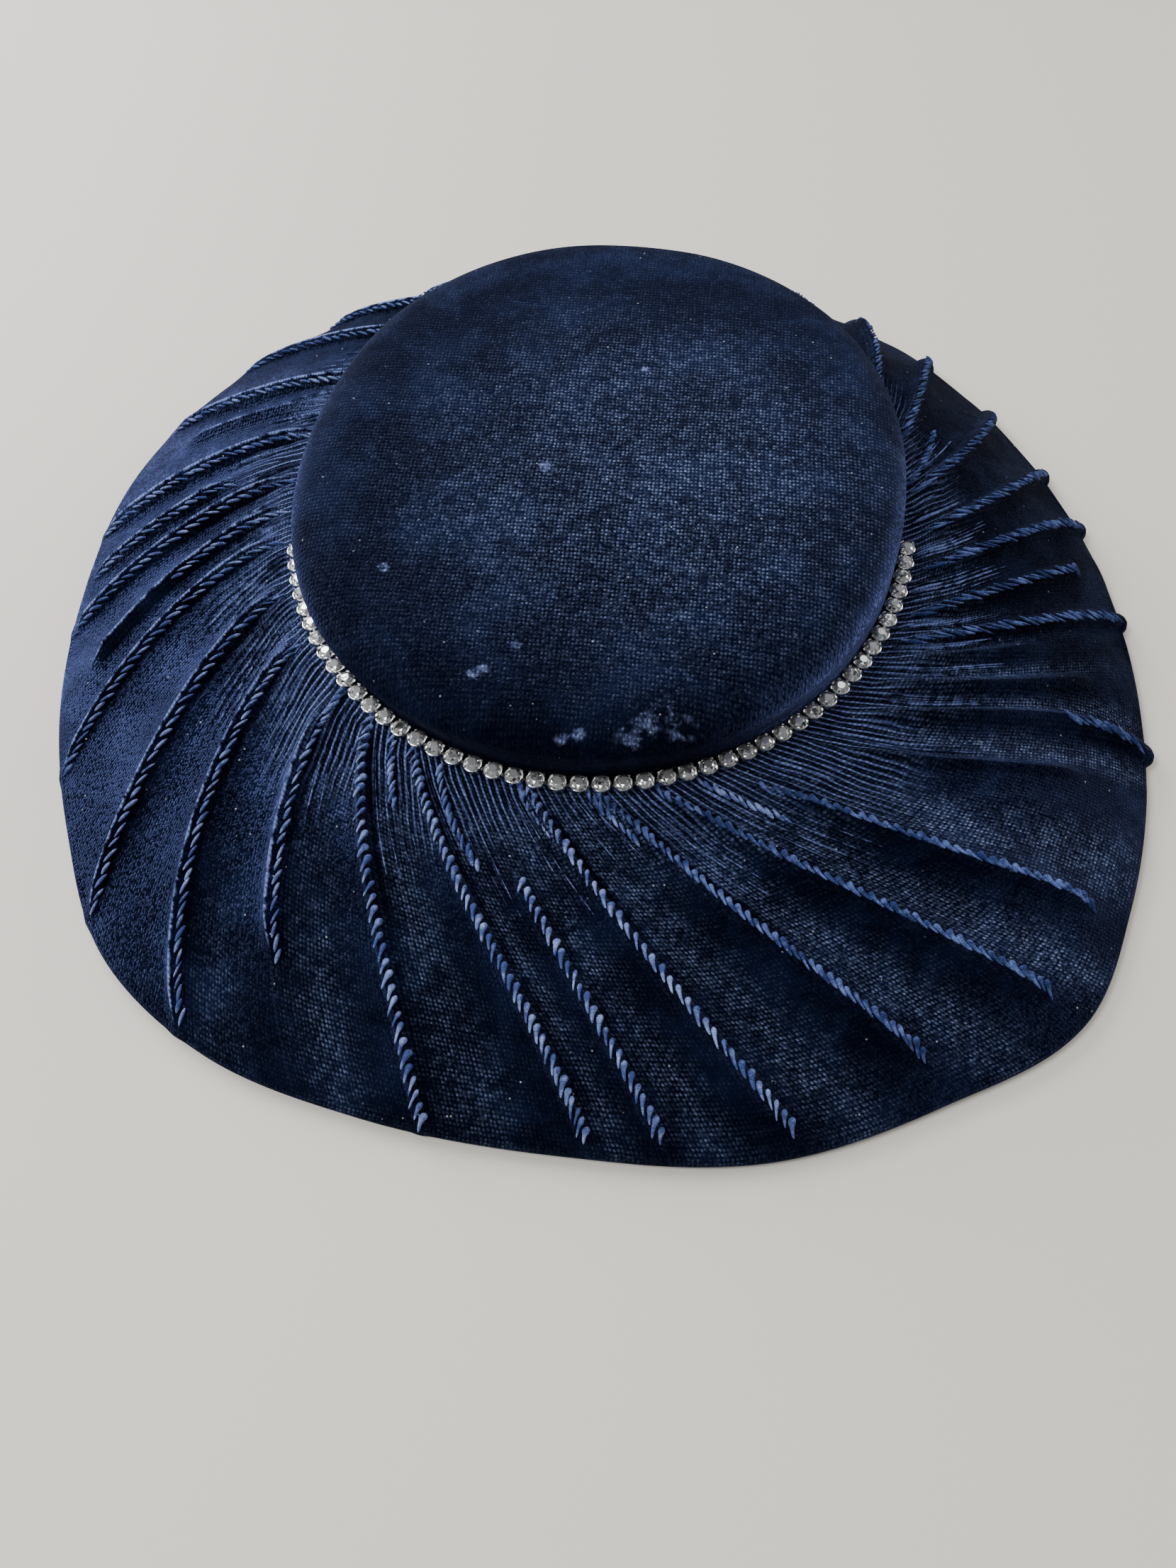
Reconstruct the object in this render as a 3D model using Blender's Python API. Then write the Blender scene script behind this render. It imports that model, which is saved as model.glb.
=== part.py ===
# Platter hat: a shallow oval velvet crown, a wide brim with swirled rope tucks and a rhinestone cup chain.
# Named lengths are in millimetres. The row axes are +Z up and -Y to the hat's front.
import math

import bmesh
import bpy

MM = 0.001

# Crown: an upright head band below, a soft bulge above it and a slightly domed top
HEAD_HALF_WIDTH = 86.5
HEAD_HALF_LENGTH = 94.3
HEAD_SQUARENESS = 2.0
BULGE_HALF_WIDTH = 85.5
BULGE_HALF_LENGTH = 98.5
BULGE_SQUARENESS = 2.15
OVAL_TURN = -12.0
CROWN_HEIGHT = 28.0
CROWN_SIDES = 48

# Cloth and the clearance between pieces
CLOTH_THICKNESS = 2.4
GAP = 0.3

# Brim: a saucer that falls from the crown's base to a rolled edge on the ground
BASE_HEIGHT = 33.0
BRIM_WIDTH = 100.0
BRIM_CURVE = 1.9
EDGE_ROLL = 2.6
EDGE_START = 60.0
REST_FACE = 2.0

# Tucks: whipped ridges, and the gathers between them beside the crown
TUCK_HEIGHT = 3.2
TUCK_WIDTH = 5.2
TUCK_FADE = 0.12
GATHER_HEIGHT = 0.9
GATHER_REACH = 0.34

# Cup chain: eight-sided cups with a table-cut stone in each, joined by short links
STONES = 47
CHAIN_START = 191.4
CUP_ACROSS = 4.8
CUP_HEIGHT = 2.0
STONE_HEIGHT = 1.1
TABLE_ACROSS = 2.7
STONE_FACETS = 8
LINK_LENGTH = 0.8
LINK_WIDTH = 1.1
LINK_THICKNESS = 0.8
LINK_SEAT = 0.5

# Crown's side, from the head band to its widest loop.
# height: share of the crown above the head band; bulge: share of the way out to the widest loop
CROWN_SIDE = [
    (0.00, 0.00),
    (0.14, 0.30),
    (0.29, 0.62),
    (0.43, 0.88),
    (0.565, 1.00),
]

# Crown's shoulder and top.
# height: share of the crown above the head band; size: share of the widest loop
CROWN_TOP = [
    (0.70, 0.985),
    (0.81, 0.955),
    (0.89, 0.915),
    (0.945, 0.850),
    (0.975, 0.720),
    (0.993, 0.460),
]

# Brim's outline. azimuth: degrees round from +X; reach: share of the brim's width
BRIM_OUTLINE = [
    (0, 0.730),
    (15, 0.680),
    (30, 0.650),
    (45, 0.630),
    (65, 0.590),
    (90, 0.560),
    (118, 0.630),
    (135, 0.690),
    (150, 0.740),
    (165, 0.770),
    (182, 0.770),
    (200, 0.815),
    (212, 0.860),
    (225, 0.935),
    (237, 0.930),
    (250, 0.885),
    (266, 0.875),
    (283, 0.945),
    (296, 0.975),
    (310, 1.030),
    (320, 0.955),
    (331, 0.880),
    (343, 0.805),
]

# Tucks in order round the brim. inner, middle and outer: azimuth at the three shares of TUCK_STATIONS;
# start and end: shares of the way out where the ridge rises and fades, past 1 over the edge; height: share
TUCK_STATIONS = (0.10, 0.50, 0.95)
TUCKS = [
    (141.5, 150.0, 156.0, 0.08, 1.20, 0.80),
    (149.5, 157.0, 163.0, 0.20, 0.80, 0.50),
    (158.5, 167.0, 173.5, 0.08, 1.00, 0.90),
    (165.5, 174.0, 181.0, 0.34, 0.95, 0.65),
    (171.0, 180.0, 187.5, 0.08, 1.00, 0.85),
    (178.5, 188.0, 197.0, 0.08, 0.90, 0.75),
    (186.0, 195.0, 205.0, 0.08, 0.98, 0.85),
    (198.0, 209.0, 220.0, 0.08, 0.97, 0.95),
    (209.5, 221.0, 233.0, 0.08, 0.97, 1.00),
    (223.0, 233.0, 244.0, 0.08, 0.75, 1.00),
    (232.0, 245.5, 255.0, 0.08, 0.97, 1.00),
    (241.5, 257.6, 268.0, 0.08, 1.00, 1.00),
    (252.0, 264.6, 274.0, 0.30, 1.00, 0.90),
    (260.0, 273.4, 284.0, 0.08, 0.97, 0.95),
    (271.0, 286.0, 296.8, 0.08, 0.93, 0.95),
    (280.0, 297.0, 309.0, 0.08, 0.93, 0.95),
    (291.0, 307.8, 317.5, 0.12, 0.92, 0.95),
    (304.5, 321.0, 331.0, 0.12, 0.78, 0.70),
    (313.0, 328.5, 336.3, 0.08, 1.20, 0.90),
    (320.0, 333.5, 344.0, 0.08, 0.80, 0.70),
    (325.0, 339.0, 349.0, 0.08, 0.60, 0.65),
    (329.5, 343.0, 352.5, 0.08, 1.20, 0.80),
    (335.5, 350.0, 359.5, 0.08, 0.85, 0.90),
    (345.5, 358.0, 366.5, 0.08, 1.20, 0.95),
    (354.5, 366.0, 375.5, 0.08, 1.20, 0.95),
    (365.0, 376.5, 387.0, 0.08, 1.20, 0.95),
    (377.0, 391.0, 399.5, 0.08, 1.20, 0.95),
    (388.0, 402.0, 411.5, 0.08, 1.20, 0.95),
    (400.0, 414.0, 424.0, 0.08, 1.20, 0.90),
    (413.0, 427.0, 437.0, 0.08, 1.20, 0.90),
    (426.0, 440.0, 450.0, 0.08, 1.20, 0.90),
    (440.0, 453.0, 463.0, 0.08, 1.20, 0.90),
    (454.0, 466.0, 476.0, 0.08, 1.20, 0.90),
    (469.0, 480.0, 489.0, 0.08, 1.20, 0.90),
    (484.0, 494.0, 503.0, 0.08, 1.20, 0.85),
]

# Rows of the brim's mesh: shares of the way out above and below, and angles round the rolled edge
TOP_ROWS = (0.0, 0.075, 0.13, 0.20, 0.28, 0.37, 0.47, 0.57, 0.67, 0.77, 0.86, 0.94, 1.0)
ROLL_ROWS = (25.0, -15.0, -55.0)
UNDER_ROWS = (0.90, 0.72, 0.54, 0.36, 0.18, 0.0)


def blend(start, end, share):
    return start + (end - start) * share


def ease(value):
    value = min(1.0, max(0.0, value))
    return value * value * (3.0 - 2.0 * value)


def oval(azimuth, half_width, half_length, squareness):
    """Distance from the middle to an oval loop that is turned with the crown."""
    turned = math.radians(azimuth - OVAL_TURN)
    across = abs(math.cos(turned) / half_width) ** squareness
    along = abs(math.sin(turned) / half_length) ** squareness
    return (across + along) ** (-1.0 / squareness)


def head_loop(azimuth, outset=0.0):
    return oval(azimuth, HEAD_HALF_WIDTH + outset, HEAD_HALF_LENGTH + outset, HEAD_SQUARENESS)


def bulge_loop(azimuth):
    return oval(azimuth, BULGE_HALF_WIDTH, BULGE_HALF_LENGTH, BULGE_SQUARENESS)


def place(azimuth, radius, height):
    angle = math.radians(azimuth)
    return (radius * math.cos(angle) * MM, radius * math.sin(angle) * MM, height * MM)


def link_rings(mesh, rings, closed):
    """Quads between each ring of points and the next, and from the last to the first if closed."""
    pairs = list(zip(rings, rings[1:]))
    if closed:
        pairs.append((rings[-1], rings[0]))
    for first, second in pairs:
        for i in range(len(first)):
            j = (i + 1) % len(first)
            mesh.faces.new((first[i], first[j], second[j], second[i]))


def add_ring(mesh, points):
    return [mesh.verts.new(point) for point in points]


def cap_with_point(mesh, ring, point):
    centre = mesh.verts.new(point)
    for i in range(len(ring)):
        mesh.faces.new((ring[i], ring[(i + 1) % len(ring)], centre))


def make_object(name, mesh, material, parent):
    bmesh.ops.recalc_face_normals(mesh, faces=mesh.faces)
    data = bpy.data.meshes.new(name)
    mesh.to_mesh(data)
    mesh.free()
    data.materials.append(material)
    data.shade_smooth()
    data.set_sharp_from_angle(angle=math.radians(38))
    made = bpy.data.objects.new(name, data)
    made.parent = parent
    bpy.context.collection.objects.link(made)
    return made


def make_material(name, colour, roughness, metallic):
    material = bpy.data.materials.new(name)
    material.use_nodes = True
    shader = material.node_tree.nodes["Principled BSDF"]
    shader.inputs["Base Color"].default_value = (*colour, 1.0)
    shader.inputs["Roughness"].default_value = roughness
    shader.inputs["Metallic"].default_value = metallic
    return material


# Crown


def crown_outside(azimuth):
    """Radius and height of the crown's outer side, from its lower edge to near the middle of its top."""
    band_top = BASE_HEIGHT + GAP + CUP_HEIGHT + STONE_HEIGHT + GAP
    crown_top = BASE_HEIGHT + CROWN_HEIGHT
    head = head_loop(azimuth)
    widest = bulge_loop(azimuth)
    profile = [(head, BASE_HEIGHT - CLOTH_THICKNESS)]
    for height, bulge in CROWN_SIDE:
        profile.append((blend(head, widest, bulge), blend(band_top, crown_top, height)))
    for height, size in CROWN_TOP:
        profile.append((widest * size, blend(band_top, crown_top, height)))
    return profile


def cloth_inside(profile):
    """The same profile one cloth thickness further in."""
    inside = []
    for i, (radius, height) in enumerate(profile):
        before = profile[max(i - 1, 0)]
        after = profile[min(i + 1, len(profile) - 1)]
        run = after[0] - before[0]
        rise = after[1] - before[1]
        share = CLOTH_THICKNESS / math.hypot(run, rise)
        inside.append((radius - share * rise, height + share * run))
    return inside


def make_crown(material, parent):
    azimuths = [360.0 * i / CROWN_SIDES for i in range(CROWN_SIDES)]
    outside = [crown_outside(azimuth) for azimuth in azimuths]
    inside = [cloth_inside(profile) for profile in outside]
    mesh = bmesh.new()
    rows = len(outside[0])
    rings = []
    for side, order in ((inside, [*range(rows - 1, 0, -2), 0]), (outside, range(rows))):
        for row in order:
            points = [place(azimuth, *profile[row]) for azimuth, profile in zip(azimuths, side)]
            rings.append(add_ring(mesh, points))
    link_rings(mesh, rings, closed=False)
    crown_top = BASE_HEIGHT + CROWN_HEIGHT
    cap_with_point(mesh, rings[0], (0.0, 0.0, (crown_top - CLOTH_THICKNESS) * MM))
    cap_with_point(mesh, rings[-1], (0.0, 0.0, crown_top * MM))
    return make_object("crown", mesh, material, parent)


# Brim


def brim_reach(azimuth):
    """Distance from the middle to the brim's edge, on a smooth closed curve through BRIM_OUTLINE."""
    count = len(BRIM_OUTLINE)
    azimuth %= 360.0
    first = max(i for i in range(count) if BRIM_OUTLINE[i][0] <= azimuth)
    steps = [BRIM_OUTLINE[(first + k) % count] for k in (-1, 0, 1, 2)]
    spans = [(steps[k + 1][0] - steps[k][0]) % 360.0 for k in range(3)]
    rises = [(steps[k + 1][1] - steps[k][1]) / spans[k] for k in range(3)]
    leave = (rises[0] * spans[1] + rises[1] * spans[0]) / (spans[0] + spans[1]) * spans[1]
    arrive = (rises[1] * spans[2] + rises[2] * spans[1]) / (spans[1] + spans[2]) * spans[1]
    t = ((azimuth - steps[1][0]) % 360.0) / spans[1]
    share = (2 * t**3 - 3 * t**2 + 1) * steps[1][1] + (3 * t**2 - 2 * t**3) * steps[2][1]
    share += (t**3 - 2 * t**2 + t) * leave + (t**3 - t**2) * arrive
    return head_loop(azimuth) + BRIM_WIDTH * share


def tuck_azimuth(tuck, share):
    """A tuck's azimuth at a share of the way out, on a parabola through its three stations."""
    near, middle, far = TUCK_STATIONS
    first = (tuck[1] - tuck[0]) / (middle - near)
    second = (tuck[2] - tuck[1]) / (far - middle)
    bend = (second - first) / (far - near)
    return tuck[0] + (share - near) * (first + bend * (share - middle))


def tuck_rise(tuck, share):
    start, end, height = tuck[3:]
    rise = ease((share - start) / TUCK_FADE) * ease((end - share) / TUCK_FADE)
    return TUCK_HEIGHT * height * rise


def gather_rise(share):
    first_row = TOP_ROWS[1]
    return GATHER_HEIGHT * ease((share - first_row) / first_row) * ease((GATHER_REACH - share) / GATHER_REACH)


def brim_columns(share):
    """(azimuth, rise) of each column of the brim at a share of the way out: crest, foot, gather, foot."""
    columns = []
    for i, tuck in enumerate(TUCKS):
        lap = 360.0 if i + 1 == len(TUCKS) else 0.0
        crest = tuck_azimuth(tuck, share)
        following = tuck_azimuth(TUCKS[(i + 1) % len(TUCKS)], share) + lap
        radius = blend(head_loop(crest, GAP), brim_reach(crest), share)
        foot = math.degrees(TUCK_WIDTH / 2.0 / radius)
        columns.append((crest, tuck_rise(tuck, share)))
        columns.append((crest + foot, 0.0))
        columns.append(((crest + following) / 2.0, gather_rise(share)))
        columns.append((following - foot, 0.0))
    return columns


def brim_point(azimuth, share, offset):
    """A point of the brim's upper side, raised along its normal by an offset."""
    start = math.radians(EDGE_START)
    inner = head_loop(azimuth, GAP)
    outer = brim_reach(azimuth) - EDGE_ROLL * (1.0 - math.cos(start))
    edge_height = EDGE_ROLL * (1.0 + math.sin(start))
    drop = BASE_HEIGHT - edge_height
    height = BASE_HEIGHT - drop * share**BRIM_CURVE
    slope = math.atan(drop * BRIM_CURVE * share ** (BRIM_CURVE - 1.0) / (outer - inner))
    radius = blend(inner, outer, share)
    return place(azimuth, radius + offset * math.sin(slope), height + offset * math.cos(slope))


def roll_point(azimuth, angle, offset):
    """A point on the rolled edge, at an angle above the level through the roll's middle."""
    angle = math.radians(angle)
    radius = brim_reach(azimuth) - EDGE_ROLL + (EDGE_ROLL + offset) * math.cos(angle)
    return place(azimuth, radius, EDGE_ROLL + (EDGE_ROLL + offset) * math.sin(angle))


def make_brim(material, parent):
    mesh = bmesh.new()
    rings = []
    for share in TOP_ROWS:
        rings.append([brim_point(azimuth, share, rise) for azimuth, rise in brim_columns(share)])
    edge = brim_columns(1.0)
    for angle in ROLL_ROWS:
        over = ease((angle - ROLL_ROWS[-1]) / (EDGE_START - ROLL_ROWS[-1]))
        rings.append([roll_point(azimuth, angle, rise * over) for azimuth, rise in edge])
    for inset in (EDGE_ROLL, EDGE_ROLL + REST_FACE):
        rings.append([place(azimuth, brim_reach(azimuth) - inset, 0.0) for azimuth, _ in edge])
    for share in UNDER_ROWS:
        rings.append([brim_point(azimuth, share, -CLOTH_THICKNESS) for azimuth, _ in brim_columns(share)])
    link_rings(mesh, [add_ring(mesh, ring) for ring in rings], closed=True)
    return make_object("brim", mesh, material, parent)


# Rhinestone chain


def chain_stations():
    """Middle, direction along the chain and outward direction of each cup, a pitch apart."""
    outset = GAP + CUP_ACROSS / 2.0
    pitch = CUP_ACROSS + LINK_LENGTH
    azimuth = CHAIN_START
    step = 0.02
    stations = []
    for _ in range(STONES):
        here = place(azimuth, head_loop(azimuth, outset), 0.0)
        ahead = place(azimuth + step, head_loop(azimuth + step, outset), 0.0)
        along = (ahead[0] - here[0], ahead[1] - here[1])
        length = math.hypot(*along)
        along = (along[0] / length, along[1] / length)
        stations.append((here, along, (along[1], -along[0])))
        azimuth += step * pitch * MM / length
    return stations


def chain_point(station, along, out, height):
    middle, ahead, outward = station
    return (
        middle[0] + (ahead[0] * along + outward[0] * out) * MM,
        middle[1] + (ahead[1] * along + outward[1] * out) * MM,
        (BASE_HEIGHT + GAP + height) * MM,
    )


def octagon(mesh, station, across, height):
    """Eight corners, with flats facing along and across the chain."""
    corner = across / 2.0 / math.cos(math.pi / STONE_FACETS)
    ring = []
    for i in range(STONE_FACETS):
        angle = 2.0 * math.pi * (i + 0.5) / STONE_FACETS
        point = chain_point(station, corner * math.cos(angle), corner * math.sin(angle), height)
        ring.append(mesh.verts.new(point))
    return ring


def link_end(mesh, station, direction):
    """Four corners where a link meets a cup's flat, on its leading or trailing side."""
    side = direction * CUP_ACROSS / 2.0
    half = LINK_WIDTH / 2.0
    low = LINK_SEAT
    high = LINK_SEAT + LINK_THICKNESS
    corners = [(-half, low), (half, low), (half, high), (-half, high)]
    return [mesh.verts.new(chain_point(station, side, out, height)) for out, height in corners]


def frame_faces(mesh, outside, inside):
    for i in range(4):
        j = (i + 1) % 4
        mesh.faces.new((outside[i], outside[j], inside[j], inside[i]))


def make_chain(material, parent):
    mesh = bmesh.new()
    stations = chain_stations()
    last_end = None
    for number, station in enumerate(stations):
        floor = octagon(mesh, station, CUP_ACROSS, 0.0)
        girdle = octagon(mesh, station, CUP_ACROSS, CUP_HEIGHT)
        table = octagon(mesh, station, TABLE_ACROSS, CUP_HEIGHT + STONE_HEIGHT)
        mesh.faces.new(floor)
        mesh.faces.new(table)
        leading = STONE_FACETS - 1
        trailing = STONE_FACETS // 2 - 1
        for i in range(STONE_FACETS):
            j = (i + 1) % STONE_FACETS
            mesh.faces.new((girdle[i], girdle[j], table[j], table[i]))
            if i == leading and number < len(stations) - 1:
                front = link_end(mesh, station, 1.0)
                frame_faces(mesh, (floor[i], floor[j], girdle[j], girdle[i]), front)
            elif i == trailing and number > 0:
                back = link_end(mesh, station, -1.0)
                frame_faces(mesh, (floor[j], floor[i], girdle[i], girdle[j]), back)
                frame_faces(mesh, last_end, back)
            else:
                mesh.faces.new((floor[i], floor[j], girdle[j], girdle[i]))
        last_end = front
    return make_object("rhinestone_chain", mesh, material, parent)


def bottom_middle(made):
    """Middle of an object's box in X and Y, in its own units."""
    xs = [vertex.co.x for vertex in made.data.vertices]
    ys = [vertex.co.y for vertex in made.data.vertices]
    return (min(xs) + max(xs)) / 2.0, (min(ys) + max(ys)) / 2.0


for old in list(bpy.data.objects):
    bpy.data.objects.remove(old)

hat = bpy.data.objects.new("platter_hat", None)
bpy.context.collection.objects.link(hat)
crown_velvet = make_material("crown_velvet", (0.010, 0.014, 0.045), 0.85, 0.0)
brim_velvet = make_material("brim_velvet", (0.010, 0.015, 0.050), 0.85, 0.0)
silver_and_glass = make_material("silver_and_glass", (0.75, 0.77, 0.80), 0.15, 0.9)
make_crown(crown_velvet, hat)
brim = make_brim(brim_velvet, hat)
make_chain(silver_and_glass, hat)

# The hat's box stands on the origin by the middle of its underside
middle_x, middle_y = bottom_middle(brim)
hat.location = (-middle_x, -middle_y, 0.0)
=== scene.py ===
# Platter hat: navy velvet crown and brim, whipped tucks and a rhinestone chain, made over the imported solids.
import math

import bpy
import numpy as np
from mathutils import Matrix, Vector, noise
from mathutils.bvhtree import BVHTree


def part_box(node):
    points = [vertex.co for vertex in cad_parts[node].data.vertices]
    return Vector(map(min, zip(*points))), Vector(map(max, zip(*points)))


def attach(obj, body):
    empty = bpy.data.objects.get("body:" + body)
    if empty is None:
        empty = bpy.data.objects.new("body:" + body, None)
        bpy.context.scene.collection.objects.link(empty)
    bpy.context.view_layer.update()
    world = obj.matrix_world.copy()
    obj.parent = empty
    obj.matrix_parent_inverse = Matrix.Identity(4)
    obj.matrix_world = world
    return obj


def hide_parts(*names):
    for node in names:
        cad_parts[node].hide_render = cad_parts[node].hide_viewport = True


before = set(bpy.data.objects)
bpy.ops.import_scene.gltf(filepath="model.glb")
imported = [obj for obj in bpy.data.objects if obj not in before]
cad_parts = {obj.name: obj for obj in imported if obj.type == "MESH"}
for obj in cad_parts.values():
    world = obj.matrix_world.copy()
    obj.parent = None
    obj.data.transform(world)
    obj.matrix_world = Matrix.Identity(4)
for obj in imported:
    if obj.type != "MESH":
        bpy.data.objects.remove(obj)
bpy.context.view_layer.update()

# Crown. A shallow oval form in one piece of navy velvet, drawn smooth over a soft shoulder and sewn in
# along its foot. The pile is crushed in patches, worn bluish in spots and shows the rows of the weave.
MM = 0.001
HEAD_HALF_WIDTH = 86.5
HEAD_HALF_LENGTH = 94.3
HEAD_SQUARENESS = 2.0
BULGE_HALF_WIDTH = 85.5
BULGE_HALF_LENGTH = 98.5
BULGE_SQUARENESS = 2.15
OVAL_TURN = -12.0
BASE_HEIGHT = 33.0
CROWN_TOP = 61.0
BAND_TOP = 36.7
CLOTH_THICKNESS = 2.4
GAP = 0.3
CROWN_COLUMNS = 288
CROWN_ROWS = 96
CROWN_INNER_ROWS = 14
CROWN_SOFTNESS = 0.45
CROWN_ROW_TURN = 6.0

# height: share from the head band to the top; bulge: share of the way from the head to the widest loop
CROWN_SIDE = [(0.00, 0.00), (0.14, 0.30), (0.29, 0.62), (0.43, 0.88), (0.565, 1.00)]

# height: share from the head band to the top; size: share of the widest loop
CROWN_SHOULDER = [(0.70, 0.985), (0.81, 0.955), (0.89, 0.915), (0.945, 0.85), (0.975, 0.72), (0.993, 0.46), (1.0, 0.0)]

crown_low, crown_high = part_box("crown")
hat_middle = np.array([(crown_low.x + crown_high.x) / 2, (crown_low.y + crown_high.y) / 2, 0.0])


def ease(value):
    value = np.clip(value, 0.0, 1.0)
    return value * value * (3.0 - 2.0 * value)


def oval(azimuth, half_width, half_length, squareness):
    turned = np.radians(azimuth - OVAL_TURN)
    across = np.abs(np.cos(turned) / half_width) ** squareness
    along = np.abs(np.sin(turned) / half_length) ** squareness
    return (across + along) ** (-1.0 / squareness)


def head_loop(azimuth, outset=0.0):
    return oval(azimuth, HEAD_HALF_WIDTH + outset, HEAD_HALF_LENGTH + outset, HEAD_SQUARENESS)


def place(azimuth, radius, height):
    """Points in metres at an azimuth, a distance from the crown's middle and a height in millimetres."""
    angle = np.radians(azimuth)
    parts = np.broadcast_arrays(radius * np.cos(angle), radius * np.sin(angle), height)
    return np.stack(parts, axis=-1) * MM + hat_middle


def smooth_curve(knots, values, at):
    """A smooth curve through values at rising knots, read at other places along it."""
    knots = np.asarray(knots, float)
    values = np.asarray(values, float).reshape(len(knots), -1)
    spans = np.diff(knots)[:, None]
    rises = np.diff(values, axis=0) / spans
    inner = (rises[:-1] * spans[1:] + rises[1:] * spans[:-1]) / (spans[:-1] + spans[1:])
    slopes = np.concatenate([rises[:1], inner, rises[-1:]])
    first = np.clip(np.searchsorted(knots, at, side="right") - 1, 0, len(knots) - 2)
    span = spans[first]
    t = (np.asarray(at, float)[:, None] - knots[first][:, None]) / span
    start, end = values[first], values[first + 1]
    made = (2 * t**3 - 3 * t**2 + 1) * start + (3 * t**2 - 2 * t**3) * end
    return made + ((t**3 - 2 * t**2 + t) * slopes[first] + (t**3 - t**2) * slopes[first + 1]) * span


def unevenness(points, size):
    """A gentle rise and fall between about -1 and 1 over each size in millimetres."""
    scale = 1.0 / (size * MM)
    flat = points.reshape(-1, 3) * scale
    found = [noise.noise(Vector(point)) for point in flat]
    return np.array(found).reshape(points.shape[:-1]) * 1.6


def ring_mesh(name, rings, closed, poles=None):
    """A mesh of quads through rings of points, joined round as a loop, or ended in two poles."""
    rows, columns = rings.shape[:2]
    points = rings.reshape(-1, 3)
    first = np.arange(rows if closed else rows - 1)[:, None] * columns
    second = (first + columns) % (rows * columns)
    here = np.arange(columns)[None, :]
    after = (here + 1) % columns
    quads = np.stack([first + here, first + after, second + after, second + here], axis=-1).reshape(-1, 4)
    faces = [tuple(quad) for quad in quads.tolist()]
    if poles is not None:
        points = np.concatenate([points, poles])
        start, end = rows * columns, rows * columns + 1
        last = (rows - 1) * columns
        faces += [(start, int(b), int(a)) for a, b in zip(here[0], after[0])]
        faces += [(end, int(last + a), int(last + b)) for a, b in zip(here[0], after[0])]
    mesh = bpy.data.meshes.new(name)
    mesh.from_pydata(points.tolist(), [], faces)
    mesh.validate()
    mesh.shade_smooth()
    piece = bpy.data.objects.new(name, mesh)
    bpy.context.collection.objects.link(piece)
    return piece


def keep_value(piece, name, values):
    """Stores one number for each point of a piece, which its material reads by name."""
    stored = piece.data.attributes.new(name, "FLOAT", "POINT")
    padded = np.zeros(len(piece.data.vertices), np.float32)
    padded[: values.size] = values.reshape(-1)
    stored.data.foreach_set("value", padded)


def lay_pile(piece, nap, parted_and_lit, glow):
    """Stores which way the pile leans, how far the weave shows through it (with painted light and shade in that
    share), and how much painted sheen it takes when turned.
    """
    leaning = piece.data.attributes.new("nap", "FLOAT_VECTOR", "POINT")
    vectors = np.broadcast_to(np.asarray(nap, np.float32), (len(piece.data.vertices), 3))
    leaning.data.foreach_set("vector", np.ascontiguousarray(vectors).ravel())
    keep_value(piece, "parted_and_lit", np.broadcast_to(parted_and_lit, (len(piece.data.vertices),)))
    keep_value(piece, "glow", np.broadcast_to(glow, (len(piece.data.vertices),)))


def keep_weave(piece, across, along):
    """Stores where each point lies in the cloth's weave, in metres across and along its rows."""
    stored = piece.data.attributes.new("weave", "FLOAT_VECTOR", "POINT")
    places = np.zeros((len(piece.data.vertices), 3), np.float32)
    places[: across.size, 0] = across.reshape(-1)
    places[: along.size, 1] = along.reshape(-1)
    stored.data.foreach_set("vector", places.ravel())


def crown_profile(azimuth):
    """Radius and height of the crown's outer side, row by row from its foot to its middle."""
    head = head_loop(azimuth)
    widest = oval(azimuth, BULGE_HALF_WIDTH, BULGE_HALF_LENGTH, BULGE_SQUARENESS)
    radii = [head]
    heights = [BASE_HEIGHT - CLOTH_THICKNESS]
    for height, bulge in CROWN_SIDE:
        radii.append(head + (widest - head) * bulge)
        heights.append(BAND_TOP + (CROWN_TOP - BAND_TOP) * height)
    for height, size in CROWN_SHOULDER:
        radii.append(widest * size)
        heights.append(BAND_TOP + (CROWN_TOP - BAND_TOP) * height)
    middle_radii = [radius.mean() for radius in radii]
    steps = np.hypot(np.diff(middle_radii), np.diff(heights))
    knots = np.concatenate([[0.0], np.cumsum(steps)])
    return knots, np.array(radii), np.array(heights)


def make_crown():
    azimuth = np.arange(CROWN_COLUMNS) * 360.0 / CROWN_COLUMNS
    knots, radii, heights = crown_profile(azimuth)
    at = np.linspace(0.0, knots[-1] * 0.995, CROWN_ROWS)
    radius = smooth_curve(knots, radii, at)
    height = np.broadcast_to(smooth_curve(knots, heights, at), radius.shape)
    run = np.gradient(radius, axis=0)
    rise = np.gradient(height, axis=0)
    length = np.hypot(run, rise)
    outside = place(azimuth[None, :], radius, height)
    soft = CROWN_SOFTNESS * unevenness(outside, 34.0) * ease((at[:, None] - 14.0) / 20.0)
    outside = place(azimuth[None, :], radius + soft * rise / length, height - soft * run / length)
    inner_rows = np.linspace(CROWN_ROWS - 1, 0, CROWN_INNER_ROWS).astype(int)
    inner_radius = (radius - CLOTH_THICKNESS * rise / length)[inner_rows]
    inner_height = (height + CLOTH_THICKNESS * run / length)[inner_rows]
    inside = place(azimuth[None, :], np.maximum(inner_radius, 0.2), inner_height)
    rings = np.concatenate([inside, outside])
    poles = place(np.zeros(2), 0.0, np.array([CROWN_TOP - CLOTH_THICKNESS, CROWN_TOP]))
    return ring_mesh("crown_velvet", rings, closed=False, poles=poles)


def add_node(tree, kind, settings=None, **inputs):
    """A shader node with its settings, and its inputs given as values or as sockets to link from."""
    made = tree.nodes.new(kind)
    for key, value in (settings or {}).items():
        setattr(made, key, value)
    for key, value in inputs.items():
        socket = made.inputs[int(key[1:])] if key[0] == "_" else made.inputs[key.replace("_", " ")]
        if isinstance(value, bpy.types.NodeSocket):
            tree.links.new(value, socket)
        else:
            socket.default_value = value
    return made


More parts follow.
